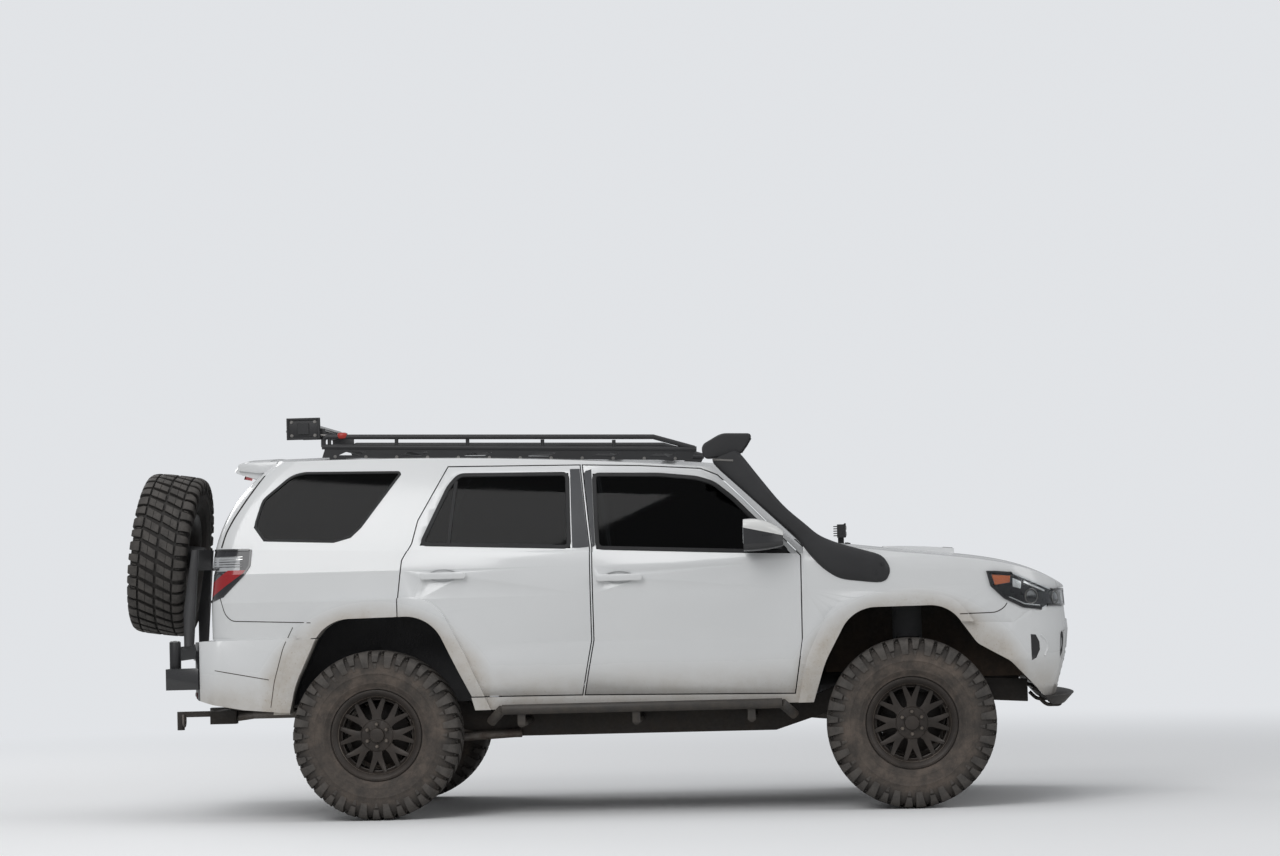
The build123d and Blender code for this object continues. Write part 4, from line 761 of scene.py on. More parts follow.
# Matched stations over half a tyre: outer surface (out, radius), carcass (out, radius)
STATIONS = (
    (0.0000, 0.4420, 0.0000, 0.4262), (0.0450, 0.4418, 0.0450, 0.4260), (0.0900, 0.4405, 0.0900, 0.4245),
    (0.1180, 0.4380, 0.1150, 0.4215), (0.1360, 0.4320, 0.1270, 0.4165), (0.1480, 0.4230, 0.1360, 0.4100),
    (0.1545, 0.4100, 0.1420, 0.4010), (0.1570, 0.3950, 0.1462, 0.3910), (0.1565, 0.3780, 0.1488, 0.3770),
    (0.1550, 0.3620, 0.1500, 0.3620), (0.1540, 0.3480, 0.1503, 0.3480),
)
# The rest of the carcass (out, radius): from the stations to the bead, then back round the inside
WALL = (
    (0.1503, 0.3400), (0.1500, 0.3300), (0.1512, 0.3270), (0.1512, 0.3230), (0.1492, 0.3205),
    (0.1478, 0.3100), (0.1462, 0.2980), (0.1430, 0.2850), (0.1400, 0.2780), (0.1402, 0.2745),
    (0.1380, 0.2715), (0.1335, 0.2640), (0.1265, 0.2560), (0.1215, 0.2500), (0.1200, 0.2440),
    (0.1150, 0.2400), (0.1060, 0.2385), (0.1050, 0.2500), (0.1280, 0.2760), (0.1390, 0.3300),
    (0.1260, 0.3850), (0.0900, 0.4060), (0.0, 0.4080),
)
# Lugs: stations from, to; lead at each end and width at each end as shares of the pitch; height share.
# Last come low ribs on the sidewall between the long lugs, and stone guards in the grooves.
LUGS = (
    (0.14, 1.96, 0.00, 0.26, 0.31, 0.36, 1.0), (0.14, 1.96, 0.50, 0.76, 0.31, 0.36, 1.0),
    (2.26, 9.40, 0.27, 0.24, 0.40, 0.28, 1.0), (2.26, 7.60, 0.79, 0.80, 0.34, 0.22, 1.0),
    (8.10, 9.90, 0.80, 0.80, 0.16, 0.10, 0.75), (2.60, 4.00, 0.515, 0.525, 0.06, 0.06, 0.30),
    (2.60, 4.00, 1.015, 1.015, 0.06, 0.06, 0.30),
)
LUG_BEVEL = 0.0022 / TYRE_RADIUS
LUG_ROOT = -0.12
LUG_EDGE = 0.86
LUG_FLARE = 1.05
LUG_STEP = 0.5
LUG_DRAWN = 0.08
# The cut across a lug of the centre rows, which are the ones of this length: stations past its middle,
# and the height share there
CENTRE_LENGTH = (1.6, 2.0)
SIPE = ((0.05, 1.0), (0.055, 0.42), (0.10, 0.42), (0.105, 1.0))


def station(s, share):
    """A point of the tyre's section at a station, share of the way from carcass to outer surface."""
    index = min(int(s), len(STATIONS) - 2)
    here, there = STATIONS[index], STATIONS[index + 1]
    out = [a + (b - a) * (s - index) for a, b in zip(here, there)]
    return out[2] + (out[0] - out[2]) * share, out[3] + (out[1] - out[3]) * share


def lug(form, side, turn, start, end, lead_a, lead_b, width_a, width_b, height):
    """One bevelled lug that follows the tyre's section, with a cut across where it is a centre one."""
    count = max(4, int((end - start) / LUG_STEP))
    steps = [start + (end - start) * k / count for k in range(count + 1)]
    rings = [(start, LUG_ROOT), (start, LUG_EDGE)]
    for k, s in enumerate(steps):
        rings.append((s + (LUG_DRAWN if k == 0 else -LUG_DRAWN if k == count else 0.0), 1.0))
        if CENTRE_LENGTH[0] < end - start < CENTRE_LENGTH[1] and k == count // 2:
            rings += [(s + past, top) for past, top in SIPE]
    sections = []
    for s, top in rings + [(end, LUG_EDGE), (end, LUG_ROOT)]:
        t = (s - start) / (end - start)
        middle = (lead_a + (lead_b - lead_a) * t) * PITCH * side
        half = (width_a + (width_b - width_a) * t) * PITCH / 2
        edge = min(top, LUG_EDGE)
        section = []
        for shift, share in ((-half * LUG_FLARE, LUG_ROOT), (-half, edge), (-half + LUG_BEVEL, top),
                             (half - LUG_BEVEL, top), (half, edge), (half * LUG_FLARE, LUG_ROOT)):
            share = share * height if share > 0 else share
            out, radius = station(s, share)
            angle = turn + middle + shift
            section.append((radius * math.cos(angle), radius * math.sin(angle), side * out))
            form.raised.append(1.0 if share > 0.9 * height else 0.0)
        sections.append(section)
    form.loft(sections)


def tyre_mesh():
    """A mud tyre standing on its axle: carcass, interlocking centre lugs, shoulder lugs over the sidewall."""
    half = [(s[3], s[2]) for s in STATIONS] + [(r, out) for out, r in WALL]
    form = Form().turned(half + [(r, -out) for r, out in half[-2:0:-1]], sides=120)
    form.raised = [0.0] * len(form.verts)
    for k in range(PITCHES):
        for row in LUGS:
            lug(form, 1, PITCH * k, *row)
            lug(form, -1, PITCH * (k + 0.5), *row)
    mesh = bpy.data.meshes.new("mud_tyre")
    mesh.from_pydata(form.verts, [], form.faces)
    radii = [math.hypot(v[0], v[1]) for v in form.verts]
    for name, values in (("raised", form.raised), ("axle_distance", radii)):
        mesh.attributes.new(name, "FLOAT", "POINT").data.foreach_set("value", values)
    smoothed(mesh, 32.0)
    return mesh


NUTS, NUT_CIRCLE, NUT_SEAT = 6, 0.058, 0.084
RING_BOLTS = 24


def rim_dress():
    """What the rim carries: nuts in their pockets, cap and flange rings, small bolts, valve."""
    form = Form()
    metal = Form()
    for k in range(NUTS):
        angle = math.pi * (2 * k + 1) / NUTS
        at = Matrix.Translation((NUT_CIRCLE * math.cos(angle), NUT_CIRCLE * math.sin(angle), NUT_SEAT))
        form.round(0.0135, -0.006, 0.0015, at, 20)
        metal.round(0.0100, 0.0, 0.020, at, 6, 0.9)
        metal.round(0.0070, 0.018, 0.024, at, 12, 0.7)
    metal.turned([(0.2005, 0.0985), (0.203, 0.1012), (0.2055, 0.0985), (0.203, 0.094)], sides=72)
    metal.turned([(0.2285, 0.1165), (0.231, 0.1196), (0.2335, 0.1170), (0.231, 0.113)], sides=72)
    form.turned([(0.184, 0.070), (0.189, 0.0725), (0.193, 0.069), (0.188, 0.064)], sides=72)
    form.turned([(0.080, 0.0835), (0.083, 0.0865), (0.087, 0.0835), (0.083, 0.081)])
    for k in range(RING_BOLTS):
        turn = Matrix.Rotation(math.pi * (2 * k + 1) / RING_BOLTS, 4, "Z")
        metal.round(0.0035, 0.0, 0.0035, turn @ Matrix.Translation((0.2150, 0.0, 0.1030)), 6)
    valve = Matrix.Rotation(0.4, 4, "Z") @ Matrix.Translation((0.196, 0, 0))
    return form.round(0.0045, 0.088, 0.112, valve, 10), metal


# Wheels: centre, outward direction, the carcass's turn about it
SPARE_LEAN = math.radians(7.5)
SPARE_OUT = (-math.cos(SPARE_LEAN), 0, math.sin(SPARE_LEAN))
WHEELS = (
    ("front_left", (FRONT_X, WHEEL_Y, AXLE_Z), (0, 1, 0), 0.10),
    ("front_right", (FRONT_X, -WHEEL_Y, AXLE_Z), (0, -1, 0), 0.31),
    ("rear_left", (REAR_X, WHEEL_Y, AXLE_Z), (0, 1, 0), 0.22),
    ("rear_right", (REAR_X, -WHEEL_Y, AXLE_Z), (0, -1, 0), 0.05),
    ("spare", (REAR_X - 1.235, 0, 1.420), SPARE_OUT, 0.0),
)
rubber = rubber_of("mud_rubber")
spare_rubber = rubber_of("spare_rubber", 0.22)
shared_tyre = tyre_mesh()
for name, centre, outward, spin in WHEELS:
    spare = name == "spare"
    place = facing(centre, outward, LEFT if spare else UP)
    body = "spare_carrier" if spare else "wheel_" + name
    node_name = "spare_tyre" if spare else "tyre_" + name
    mesh = shared_tyre.copy()
    mesh.transform(place @ Matrix.Rotation(spin, 4, "Z"))
    tyre = link(bpy.data.objects.new("mud_" + node_name, mesh))
    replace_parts(keep(tyre, spare_rubber if spare else rubber, body), node_name)
    for form, part, finish in zip(rim_dress(), ("caps", "metal"), (wheel_black, rim_metal)):
        form.verts = [place @ v for v in form.verts]
        made(form, "rim_%s_%s" % (part, name), finish, body)

# Window seals, pillar covers and the division bar
FRONT_GLASS = at_rear_axle((1150, 1784), (1500, 1774), (1700, 1752), (1790, 1722), (1890, 1640), (2186, 1336),
                           (1170, 1384))
REAR_GLASS = at_rear_axle((240, 1427), (385, 1740), (440, 1800), (1022, 1792), (1034, 1392))
QUARTER_GLASS = at_rear_axle((-640, 1545), (-585, 1470), (-214, 1453), (-124, 1477), (-70, 1528), (133, 1807),
                             (123, 1823), (-392, 1832), (-456, 1813), (-600, 1690))
REAR_PILLAR = at_rear_axle((1030, 1812), (1081, 1812), (1131, 1394), (1044, 1394))
FRONT_PILLAR = at_rear_axle((1099, 1812), (1143, 1808), (1163, 1404), (1150, 1394))
CORNER_TRIM = at_rear_axle((2010, 1515), (2178, 1345), (2010, 1382))
DIVISION = at_rear_axle((392, 1432), (430, 1792))
SEAL_RISE = 0.0075
for name, side in SIDES:
    for part, glass in (("front_", FRONT_GLASS), ("rear_", REAR_GLASS)):
        pane = side_cast(side, "door_glass_" + part + name)
        edge = laid(offset(glass, 0.006), pane, corner=0.03, closed=True)
        strip("window_seal_" + part + name, edge, 0.026, SEAL_RISE, seal, "door_" + part + name)
    edge = laid(offset(QUARTER_GLASS, 0.005), side_cast(side, "fixed_glass"), corner=0.03, closed=True)
    strip("quarter_seal_" + name, edge, 0.016, SEAL_RISE, seal)
    division = laid(DIVISION, side_cast(side, "door_glass_rear_" + name))
    strip("division_bar_" + name, division, 0.022, 0.006, seal, "door_rear_" + name)
    for part, outline in (("rear_", REAR_PILLAR), ("front_", FRONT_PILLAR)):
        node = "door_" + part + name
        on_door = side_cast(side, node)
        patch("pillar_cover_" + part + name, outline, on_door, 0.0016, 0.0030, pillar_black, node, 0.03)
    patch("corner_trim_" + name, CORNER_TRIM, side_cast(side, "door_glass_front_" + name), 0.0072, 0.0075,
          black_trim, "door_front_" + name, 0.03)
on_screen = end_cast(1, "fixed_glass")
screen_edge = offset([(-0.77, 1.352), (0.77, 1.352), (0.60, 1.808), (-0.60, 1.808)], 0.014)
strip("screen_seal", laid(screen_edge, on_screen, corner=0.05, closed=True), 0.034, 0.004, gloss_black)
on_gate_glass = end_cast(-1, "tailgate_glass")
gate_edge = offset([(-0.64, 1.445), (0.64, 1.445), (0.56, 1.80), (-0.56, 1.80)], 0.008)
gate_line = laid(gate_edge, on_gate_glass, corner=0.04, closed=True)
strip("gate_seal", gate_line, 0.024, SEAL_RISE, seal, "tailgate")

# Mirror glasses, their outline on the left (y, z), and bands
PANE = ((0.955, 1.395), (1.060, 1.392), (1.078, 1.440), (1.064, 1.492), (0.960, 1.497), (0.942, 1.440))
for name, side in SIDES:
    shell, body = "mirror_" + name, "door_front_" + name
    patch("mirror_pane_" + name, [(side * y, z) for y, z in PANE], end_cast(-1, shell), 0.0022, 0.003,
          mirror_glass, body)
    band = laid([(0.925, 1.432), (0.985, 1.437)], side_cast(side, shell), 0.01)
    strip("mirror_band_" + name, band, 0.010, 0.002, gloss_black, body)

# Headlamps: dark bowls with reflectors, lenses and clear covers
LAMP_AMBER = at_front_axle((432, 1198), (528, 1190), (524, 1156), (448, 1146))
LAMP_SQUARE = at_front_axle((540, 1178), (584, 1158), (580, 1122), (538, 1134))
LAMP_BARS = (("brow", 0.013, at_front_axle((596, 1158), (705, 1108))),
             ("foot", 0.008, at_front_axle((520, 1082), (600, 1044), (680, 1034))))
# Beams: place on the left, and radius
BEAMS = ((2.330, 0.93, 1.082, 0.034), (2.470, 0.78, 1.074, 0.031), (2.520, 0.66, 1.072, 0.029))
for name, side in SIDES:
    on_lamp = side_cast(side, "headlamps")
    skin = Skin("headlamps", lambda c, n: c.y * side > 0 and (n.x > 0.25 or n.y * side > 0.25))
    skin.sheet("headlamp_cover_" + name, 0.0055, 0.0075, lens_clear)
    skin.edging("headlamp_rim_" + name, 0.014, 0.0095, gloss_black)
    patch("headlamp_reflector_" + name, LAMP_AMBER, on_lamp, 0.0035, 0.0045, lens_amber)
    patch("headlamp_square_" + name, LAMP_SQUARE, on_lamp, 0.0040, 0.0050, bright, slot="headlamp")
    for part, width, line in LAMP_BARS:
        bar = laid(line, on_lamp, 0.02)
        strip("headlamp_" + part + "_" + name, bar, width, 0.0045, bright, slot="headlamp")
    beams = Form()
    rings = Form()
    for x, y, z, radius in BEAMS:
        at = facing(*nearest((x, side * y, z), "headlamps"))
        beams.dome(at, radius, 0.0050)
        rings.ring(at, radius + 0.006, 0.005, 0.0045)
    made(beams, "headlamp_lenses_" + name, gloss_black, slot="headlamp")
    made(rings, "headlamp_rings_" + name, steel, slot="headlamp")

# Tail lamps: rims and bars
for name, side in SIDES:
    skin = Skin("tail_lamps", lambda c, n: c.y * side > 0 and (n.x < -0.25 or n.y * side > 0.25))
    skin.edging("tail_lamp_rim_" + name, 0.013, 0.0050, gloss_black)
    for k in range(5):
        z = 1392 - 13 * k
        bar = laid(at_rear_axle((-850, z), (-690, z)), side_cast(side, "tail_lamps"), 0.04)
        strip("tail_lamp_bar_%s_%d" % (name, k), bar, 0.004, 0.0028, bright if k < 2 else gloss_black,
              slot="tail_lamp")

# Nose: mesh before a curved back, intake slats, fog lamps, tow eyes
GRILLE_BACK = 2.462
GRILLE_CURVE = 0.16
MESH_STEP = 0.0165
MESH_SLANT = 0.036
mesh_form = Form()
for slant in (1, -1):
    for k in range(-34, 35):
        start = Vector((0, k * MESH_STEP - slant * MESH_SLANT, 0.954))
        end = Vector((0, k * MESH_STEP + slant * MESH_SLANT, 1.094))
        for point in (start, end):
            point.x = GRILLE_BACK - GRILLE_CURVE * point.y * point.y + slant * 0.0012
        run = end - start
        at = Matrix.Translation((start + end) / 2) @ run.to_track_quat("Z", "X").to_matrix().to_4x4()
        mesh_form.block((0.006, 0.0032, run.length), at)
made(mesh_form, "grille_mesh", black_trim)
sections = []
for k in range(21):
    y = 0.052 * k - 0.52
    x = GRILLE_BACK - GRILLE_CURVE * y * y
    sections.append([(x - depth, y, z) for depth, z in ((0.012, 0.940), (0.012, 1.104), (0.018, 1.104),
                                                        (0.018, 0.940))])
made(Form().loft(sections), "grille_back", liner_black)
on_grille = end_cast(1, "grille")
for k in range(5):
    z = 0.622 + 0.038 * k
    strip("intake_slat_%d" % k, laid([(-0.42, z), (0.42, z)], on_grille, 0.04), 0.012, 0.011, black_trim)
TOW_EYE = [(2.33, 0.42, 0.590), (2.43, 0.42, 0.560), (2.475, 0.42, 0.535), (2.475, 0.42, 0.500),
           (2.40, 0.42, 0.500), (2.36, 0.42, 0.54)]
for name, side in SIDES:
    at = facing(*nearest((2.56, side * 0.655, 0.820), "grille"))
    made(Form().ring(at, 0.062, 0.014, 0.010), "fog_ring_" + name, black_trim)
    made(Form().dome(at, 0.047, 0.008), "fog_lens_" + name, mirror_glass, slot="headlamp")
    wire("tow_eye_" + name, rounded(mirrored(side, TOW_EYE), 0.02), 0.010, chassis_black)

# Shut lines and creases between panels that belong together, drawn as thin dark strips: painted shade of the
# gaps and creases. Columns: width, carriers, outline
REAR_PANELS = ("rear_bumper", "body_side_")
PAINTED_SHADE_LINES = (
    ("rear_quarter", 0.0050, REAR_PANELS,
     at_rear_axle((-812, 1178), (-786, 1092), (-750, 1056), (-330, 1038))),
    ("rear_crease", 0.0045, REAR_PANELS, at_rear_axle((-845, 800), (-560, 745))),
    ("rear_flare", 0.0045, REAR_PANELS, at_rear_axle((-552, 600), (-532, 734), (-481, 914), (-429, 1016))),
    ("gate", 0.0140, ("body_side_", "roof"),
     at_rear_axle((-552, 1886), (-618, 1798), (-684, 1700), (-748, 1600), (-790, 1520), (-812, 1442))),
    ("nose", 0.0055, ("front_bumper", "front_wing_"),
     at_front_axle((262, 1000), (452, 1003), (498, 1030), (520, 1076))),
    ("lamp_corner", 0.0045, ("front_bumper", "hood"), at_front_axle((742, 1030), (860, 1028))),
)
GAP_REACH = 0.007


def over_gap(meet):
    """A cast that reads a surface above and below a gap."""

    def place(x, z):
        low, normal = meet(x, z - GAP_REACH)
        high, _ = meet(x, z + GAP_REACH)
        return (low.lerp(high, 0.5), normal) if low and high else (None, None)

    return place


DUCT_MOUTH = [(2.300, 0.885), (2.326, 0.882), (2.344, 0.845), (2.346, 0.805), (2.326, 0.762), (2.302, 0.750)]
DUCT_LIP = [(2.352, 0.880), (2.384, 0.850), (2.392, 0.815), (2.372, 0.770)]
for name, side in SIDES:
    for line_name, width, carriers, outline in PAINTED_SHADE_LINES:
        carriers = [node + name if node.endswith("_") else node for node in carriers]
        # A dark strip laid on the panels: painted shade in a gap or crease
        strip("shut_line_" + line_name + "_" + name, laid(outline, side_cast(side, *carriers), 0.02, 0.03),
              width, 0.0010, liner_black, sink=0.001)
    gap = over_gap(side_cast(side, "rear_bumper", "body_side_" + name))
    filler = laid(at_rear_axle((-842, 955), (-330, 955)), gap, 0.02)
    strip("quarter_filler_" + name, filler, 0.016, 0.0006, paint, sink=0.004, shoulder=0.9)
    on_bumper = side_cast(side, "front_bumper")
    patch("duct_mouth_" + name, DUCT_MOUTH, on_bumper, 0.0015, 0.003, gloss_black)
    strip("duct_lip_" + name, laid(DUCT_LIP, on_bumper, 0.01, 0.02), 0.020, 0.006, paint, shoulder=0.3)
patch("scoop_mouth", [(1.888, -0.165), (1.936, -0.155), (1.936, 0.155), (1.888, 0.165)], top_cast("hood"),
      0.0022, 0.003, liner_black, "hood", 0.03)

# Roof spoiler: a wing over the tailgate glass that goes on the roof's crown
SPOILER_Y = (-0.585, -0.575, -0.54, -0.42, -0.28, -0.14, 0.0, 0.14, 0.28, 0.42, 0.54, 0.575, 0.585)
on_gate_top = top_cast("tailgate")
sections = []
for y in SPOILER_Y:
    drawn = 0.004 * (abs(y) > 0.58) + 0.001 * (abs(y) > 0.57)
    crown = [(x, on_gate_top(x, y)[0].z + 0.004 - drawn) for x in (-1.700, -1.745, -1.790, -1.835)]
    tail = crown[-1][1] - 0.045
    lip = [(-1.866 + drawn, tail + 0.030), (-1.888 + drawn, tail + 0.010), (-1.893 + drawn, tail - 0.002),
           (-1.884 + drawn, tail - 0.014 + drawn), (-1.850, tail - 0.024 + drawn)]
    foot = [(-1.765, 1.799 + drawn), (-1.715, 1.796 + drawn)]
    sections.append([(x, y, z) for x, z in crown + lip + foot])
made(Form().loft(sections), "roof_spoiler", paint, "tailgate", smooth_angle=50.0)


# Wipers
def wiper(name, body, meet, pivot, blade_ends, height):
    """An arm from its pivot to the middle of a blade that lies on the glass."""
    start, start_normal = meet(*pivot)
    places, normals, _ = blade = laid(blade_ends, meet, 0.04)
    strip(name + "_rubber", blade, 0.006, height, seal, body, sink=0.0)
    backbone = ([p + n * height for p, n in zip(places, normals)], normals, False)
    strip(name + "_blade", backbone, 0.014, 0.006, black_trim, body, sink=0.0)
    middle = len(places) // 2
    end = places[middle] + normals[middle] * (height + 0.007)
    knee = start.lerp(end, 0.25) + start_normal * (height + 0.016)
    wire(name + "_arm", rounded([start + start_normal * 0.006, knee, end], 0.05), 0.006, black_trim, body)
    hub = Form().round(0.015, -0.004, height + 0.010, facing(start, start_normal), 20, 0.85)
    made(hub, name + "_hub", black_trim, body, 0.002)


wiper("wiper_left", "chassis", on_screen, (0.60, 1.366), [(0.62, 1.405), (0.02, 1.378)], 0.012)
wiper("wiper_right", "chassis", on_screen, (-0.06, 1.362), [(-0.04, 1.412), (-0.62, 1.384)], 0.012)
wiper("wiper_rear", "tailgate", on_gate_glass, (0.0, 1.462), [(0.02, 1.486), (0.38, 1.474)], 0.010)

# Roof rack fixings
RACK_REAR_X = REAR_X - 0.300
RACK_FALL = 0.033
rack_spots = [(RACK_REAR_X + x, 1.918 - RACK_FALL * x) for x in (0.07 + 0.165 * k for k in range(12))]
for name, side in SIDES:
    made(bolted(side_cast(side, "roof_rack"), rack_spots, 0.006, 0.005), "rack_bolts_" + name, steel)

# Lifting jack: ribbed base plate, holed beam, runner, handle and hooks
JACK_X, JACK_Z = REAR_X - 0.395, 2.068
plate_at = facing((JACK_X, -0.626, JACK_Z), (0, -1, 0))
jack_black = Form()
for u in (-1, 1):
    jack_black.block((0.010, 0.104, 0.007), plate_at, (0.083 * u, 0, 0.003))
    jack_black.block((0.156, 0.010, 0.007), plate_at, (0, 0.051 * u, 0.003))
jack_black.block((0.060, 0.060, 0.008), plate_at, (0, 0, 0.003))
jack_black.block((0.030, 0.060, 0.034), (JACK_X + 0.005, -0.31, JACK_Z + 0.036))
made(jack_black, "jack_plate_ribs", coat_black, bevel=0.0015)
jack_steel = Form()
for u in (-1, 1):
    for v in (-1, 1):
        jack_steel.bolt(facing((JACK_X + 0.062 * u, -0.627, JACK_Z + 0.036 * v), (0, -1, 0)), 0.006, 0.005)
for k in range(15):
    y = -0.20 + 0.052 * k
    jack_steel.round(0.0085, -0.001, 0.0012, facing((JACK_X, y, JACK_Z + 0.018), UP, FORWARD), 18)
    jack_steel.round(0.0085, -0.001, 0.0012, facing((JACK_X - 0.018, y, JACK_Z), (-1, 0, 0)), 18)
made(jack_steel, "jack_fasteners", steel)
wire("jack_handle", [(JACK_X + 0.036, y, JACK_Z + 0.020) for y in (-0.34, 0.55)], 0.011, bright)
JACK_ROD = ((0.030, -0.598, 2.040), (0.110, -0.600, 2.030), (0.190, -0.600, 2.026))
JACK_HOOK = ((-0.020, -0.600, 2.070), (-0.085, -0.606, 2.072), (-0.094, -0.606, 2.052),
             (-0.070, -0.606, 2.046))
wire("jack_rod", rounded([(JACK_X + x, y, z) for x, y, z in JACK_ROD], 0.03), 0.006, steel)
wire("jack_hook", rounded([(JACK_X + x, y, z) for x, y, z in JACK_HOOK], 0.012), 0.005, bright)
knob = [(0.0001, -0.024), (0.012, -0.024), (0.017, -0.018), (0.018, 0.0), (0.017, 0.018), (0.012, 0.024),
        (0.0001, 0.024)]
made(Form().turned(knob, facing((JACK_X + 0.205, -0.600, 2.026), FORWARD), 24), "jack_knob", red_plastic)
clamps = Form()
for y in (-0.590, 0.575):
    clamps.round(0.016, -0.004, 0.020, facing((JACK_X + 0.060, y + 0.004, 2.070), UP, FORWARD), 6, 0.9)
made(clamps, "jack_clamp_nuts", coat_black, bevel=0.001)

# Raised intake: moulded duct and head, slatted mouth with a dark sheet behind the slats that is painted shade
# of the opening, neck clamp and fixings
# Stations of the duct, in millimetres from the rear axle: lower edge, upper edge, share of the thickness
INTAKE_STATIONS = (
    ((2688, 1190), (2702, 1216), 0.35), ((2668, 1177), (2694, 1262), 0.80), ((2630, 1170), (2655, 1314), 1.0),
    ((2540, 1179), (2575, 1342), 1.0), ((2439, 1196), (2485, 1368), 1.0), ((2360, 1245), (2400, 1397), 1.0),
    ((2295, 1312), (2330, 1432), 1.0), ((2225, 1402), (2262, 1490), 1.0), ((2100, 1523), (2150, 1592), 1.0),
    ((1950, 1665), (2030, 1742), 1.0), ((1812, 1795), (1948, 1850), 1.0), ((1790, 1835), (1915, 1880), 0.96),
)
DUCT_OUT, DUCT_IN = -0.955, -0.850
HEAD_OUT, HEAD_IN, HEAD_EDGE = -0.905, -0.752, 0.009
INTAKE_HEAD = at_rear_axle((1733, 1913), (1840, 1973), (2003, 1968), (1959, 1896), (1922, 1850), (1742, 1842))


def through(points, parts=4):
    """A smooth path through some points."""
    path = []
    for i in range(len(points) - 1):
        before, start, end = points[max(0, i - 1)], points[i], points[i + 1]
        after = points[min(len(points) - 1, i + 2)]
        for k in range(parts):
            t = k / parts
            path.append(start + 0.5 * (t * (end - before) + t * t * (2 * before - 5 * start + 4 * end - after)
                                       + t ** 3 * (3 * start - before - 3 * end + after)))
    return path + [points[-1]]


def intake_duct(sides=28, squareness=0.6):
    """Rounded box sections between the duct's lower and upper edge."""
    lows, highs = (through([Vector((REAR_X + row[edge][0] / 1000, row[2], row[edge][1] / 1000))
                            for row in INTAKE_STATIONS]) for edge in (0, 1))
    sections = []
    for low, high in zip(lows, highs):
        middle, reach = (low + high) / 2, (high - low) / 2
        section = []
        for waves in circle(sides):
            up, out = (math.copysign(abs(wave) ** squareness, wave) for wave in waves)
            across = (DUCT_OUT + DUCT_IN) / 2 + (DUCT_IN - DUCT_OUT) / 2 * out * low.y
            section.append((middle.x + reach.x * up, across, middle.z + reach.z * up))
        sections.append(section)
    return sections


def intake_head(steps=6):
    """The head's side-view outline swept across the car, its corners and its outer edge rounded."""
    outline = [(p.x, p.y) for p in rounded([(x, z, 0) for x, z in INTAKE_HEAD], 0.030, True, 8)]
    sections = []
    for k in range(steps + 1):
        turn = 0.5 * math.pi * k / steps
        inset = max(0.0002, HEAD_EDGE * (1 - math.sin(turn)))
        across = HEAD_OUT + HEAD_EDGE * (1 - math.cos(turn))
        sections.append([(x, across, z) for x, z in offset(outline, inset)])
    return sections + [[(x, HEAD_IN, z) for x, z in outline]]


intake = Form().loft(intake_duct()).loft(intake_head())
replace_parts(made(intake, "raised_intake", black_trim, smooth_angle=48.0), "snorkel")
trees[("raised_intake",)] = BVHTree.FromPolygons(intake.verts, intake.faces)
at_mouth = end_cast(1, "raised_intake")
# A dark sheet on the head's front face: painted shade inside the mouth, behind the slats
patch("intake_mouth", [(-0.880, 1.868), (-0.880, 1.950), (-0.770, 1.950), (-0.770, 1.868)], at_mouth, 0.0015,
      0.003, liner_black, spacing=0.03)
for k in range(6):
    y = -0.872 + 0.0188 * k
    strip("intake_mouth_slat_%d" % k, laid([(y, 1.872), (y, 1.946)], at_mouth), 0.005, 0.006, black_trim)
on_intake = side_cast(-1, "raised_intake")
strip("intake_clamp", laid(at_rear_axle((1752, 1838), (1900, 1826)), on_intake, 0.02), 0.012, 0.003, steel)
spots = at_rear_axle((2320, 1235), (2620, 1225), (2660, 1270))
made(bolted(on_intake, spots, 0.007, 0.004), "intake_bolts", black_trim)

# Auxiliary lamp on its bracket at the hood's left rear corner
foot, _ = top_cast("hood")(1.340, 0.640)
bracket = Form().block((0.060, 0.050, 0.005), foot + Vector((0, 0, 0.0025)))
bracket.block((0.034, 0.005, 0.060), foot + Vector((0, 0.020, 0.030)))
for x in (0.018, -0.018):
    bracket.bolt(facing(foot + Vector((x, -0.010, 0.005)), UP, FORWARD), 0.006, 0.005)
made(bracket, "side_lamp_bracket", coat_black, "hood", 0.001)
lamp_middle = foot + Vector((0.004, -0.006, 0.086))
housing = Form().block((0.050, 0.075, 0.075), lamp_middle)
for k in range(5):
    housing.block((0.036, 0.066, 0.005), lamp_middle + Vector((-0.028, 0, 0.026 - 0.013 * k)))
housing.block((0.012, 0.084, 0.010), lamp_middle + Vector((0.020, 0, 0.038)))
made(housing, "side_lamp_housing", black_trim, "hood", 0.003)
optics = Form()
for u in (-0.017, 0.017):
    for v in (-0.017, 0.017):
        optics.dome(facing(lamp_middle + Vector((0.0255, u, v)), FORWARD), 0.014, 0.004, sides=20)
made(optics, "side_lamp_optics", bright, "hood", slot="headlamp")

# Hood: washer jets, and the ribbed pad beneath
jets = Form()
for y in (0.28, -0.28):
    at = facing(*top_cast("hood")(1.370, y), FORWARD)
    jets.block((0.016, 0.030, 0.007), at, (0, 0, 0.003))
    jets.round(0.003, 0.003, 0.0085, at, 10)
made(jets, "washer_jets", black_trim, "hood", 0.0015)
under_hood = cast(lambda x, y: (x, y, 0.2), UP, "hood")
HOOD_PAD = [(1.42, -0.52), (2.24, -0.46), (2.24, 0.46), (1.42, 0.52)]
patch("hood_pad", HOOD_PAD, under_hood, 0.010, 0.012, carpet, "hood", 0.08, bevel=0.003)
for k, y in enumerate((-0.30, 0.0, 0.30)):
    rib = laid([(1.46, y), (2.20, y)], under_hood, 0.08)
    strip("hood_pad_rib_%d" % k, rib, 0.016, 0.013, carpet, "hood")

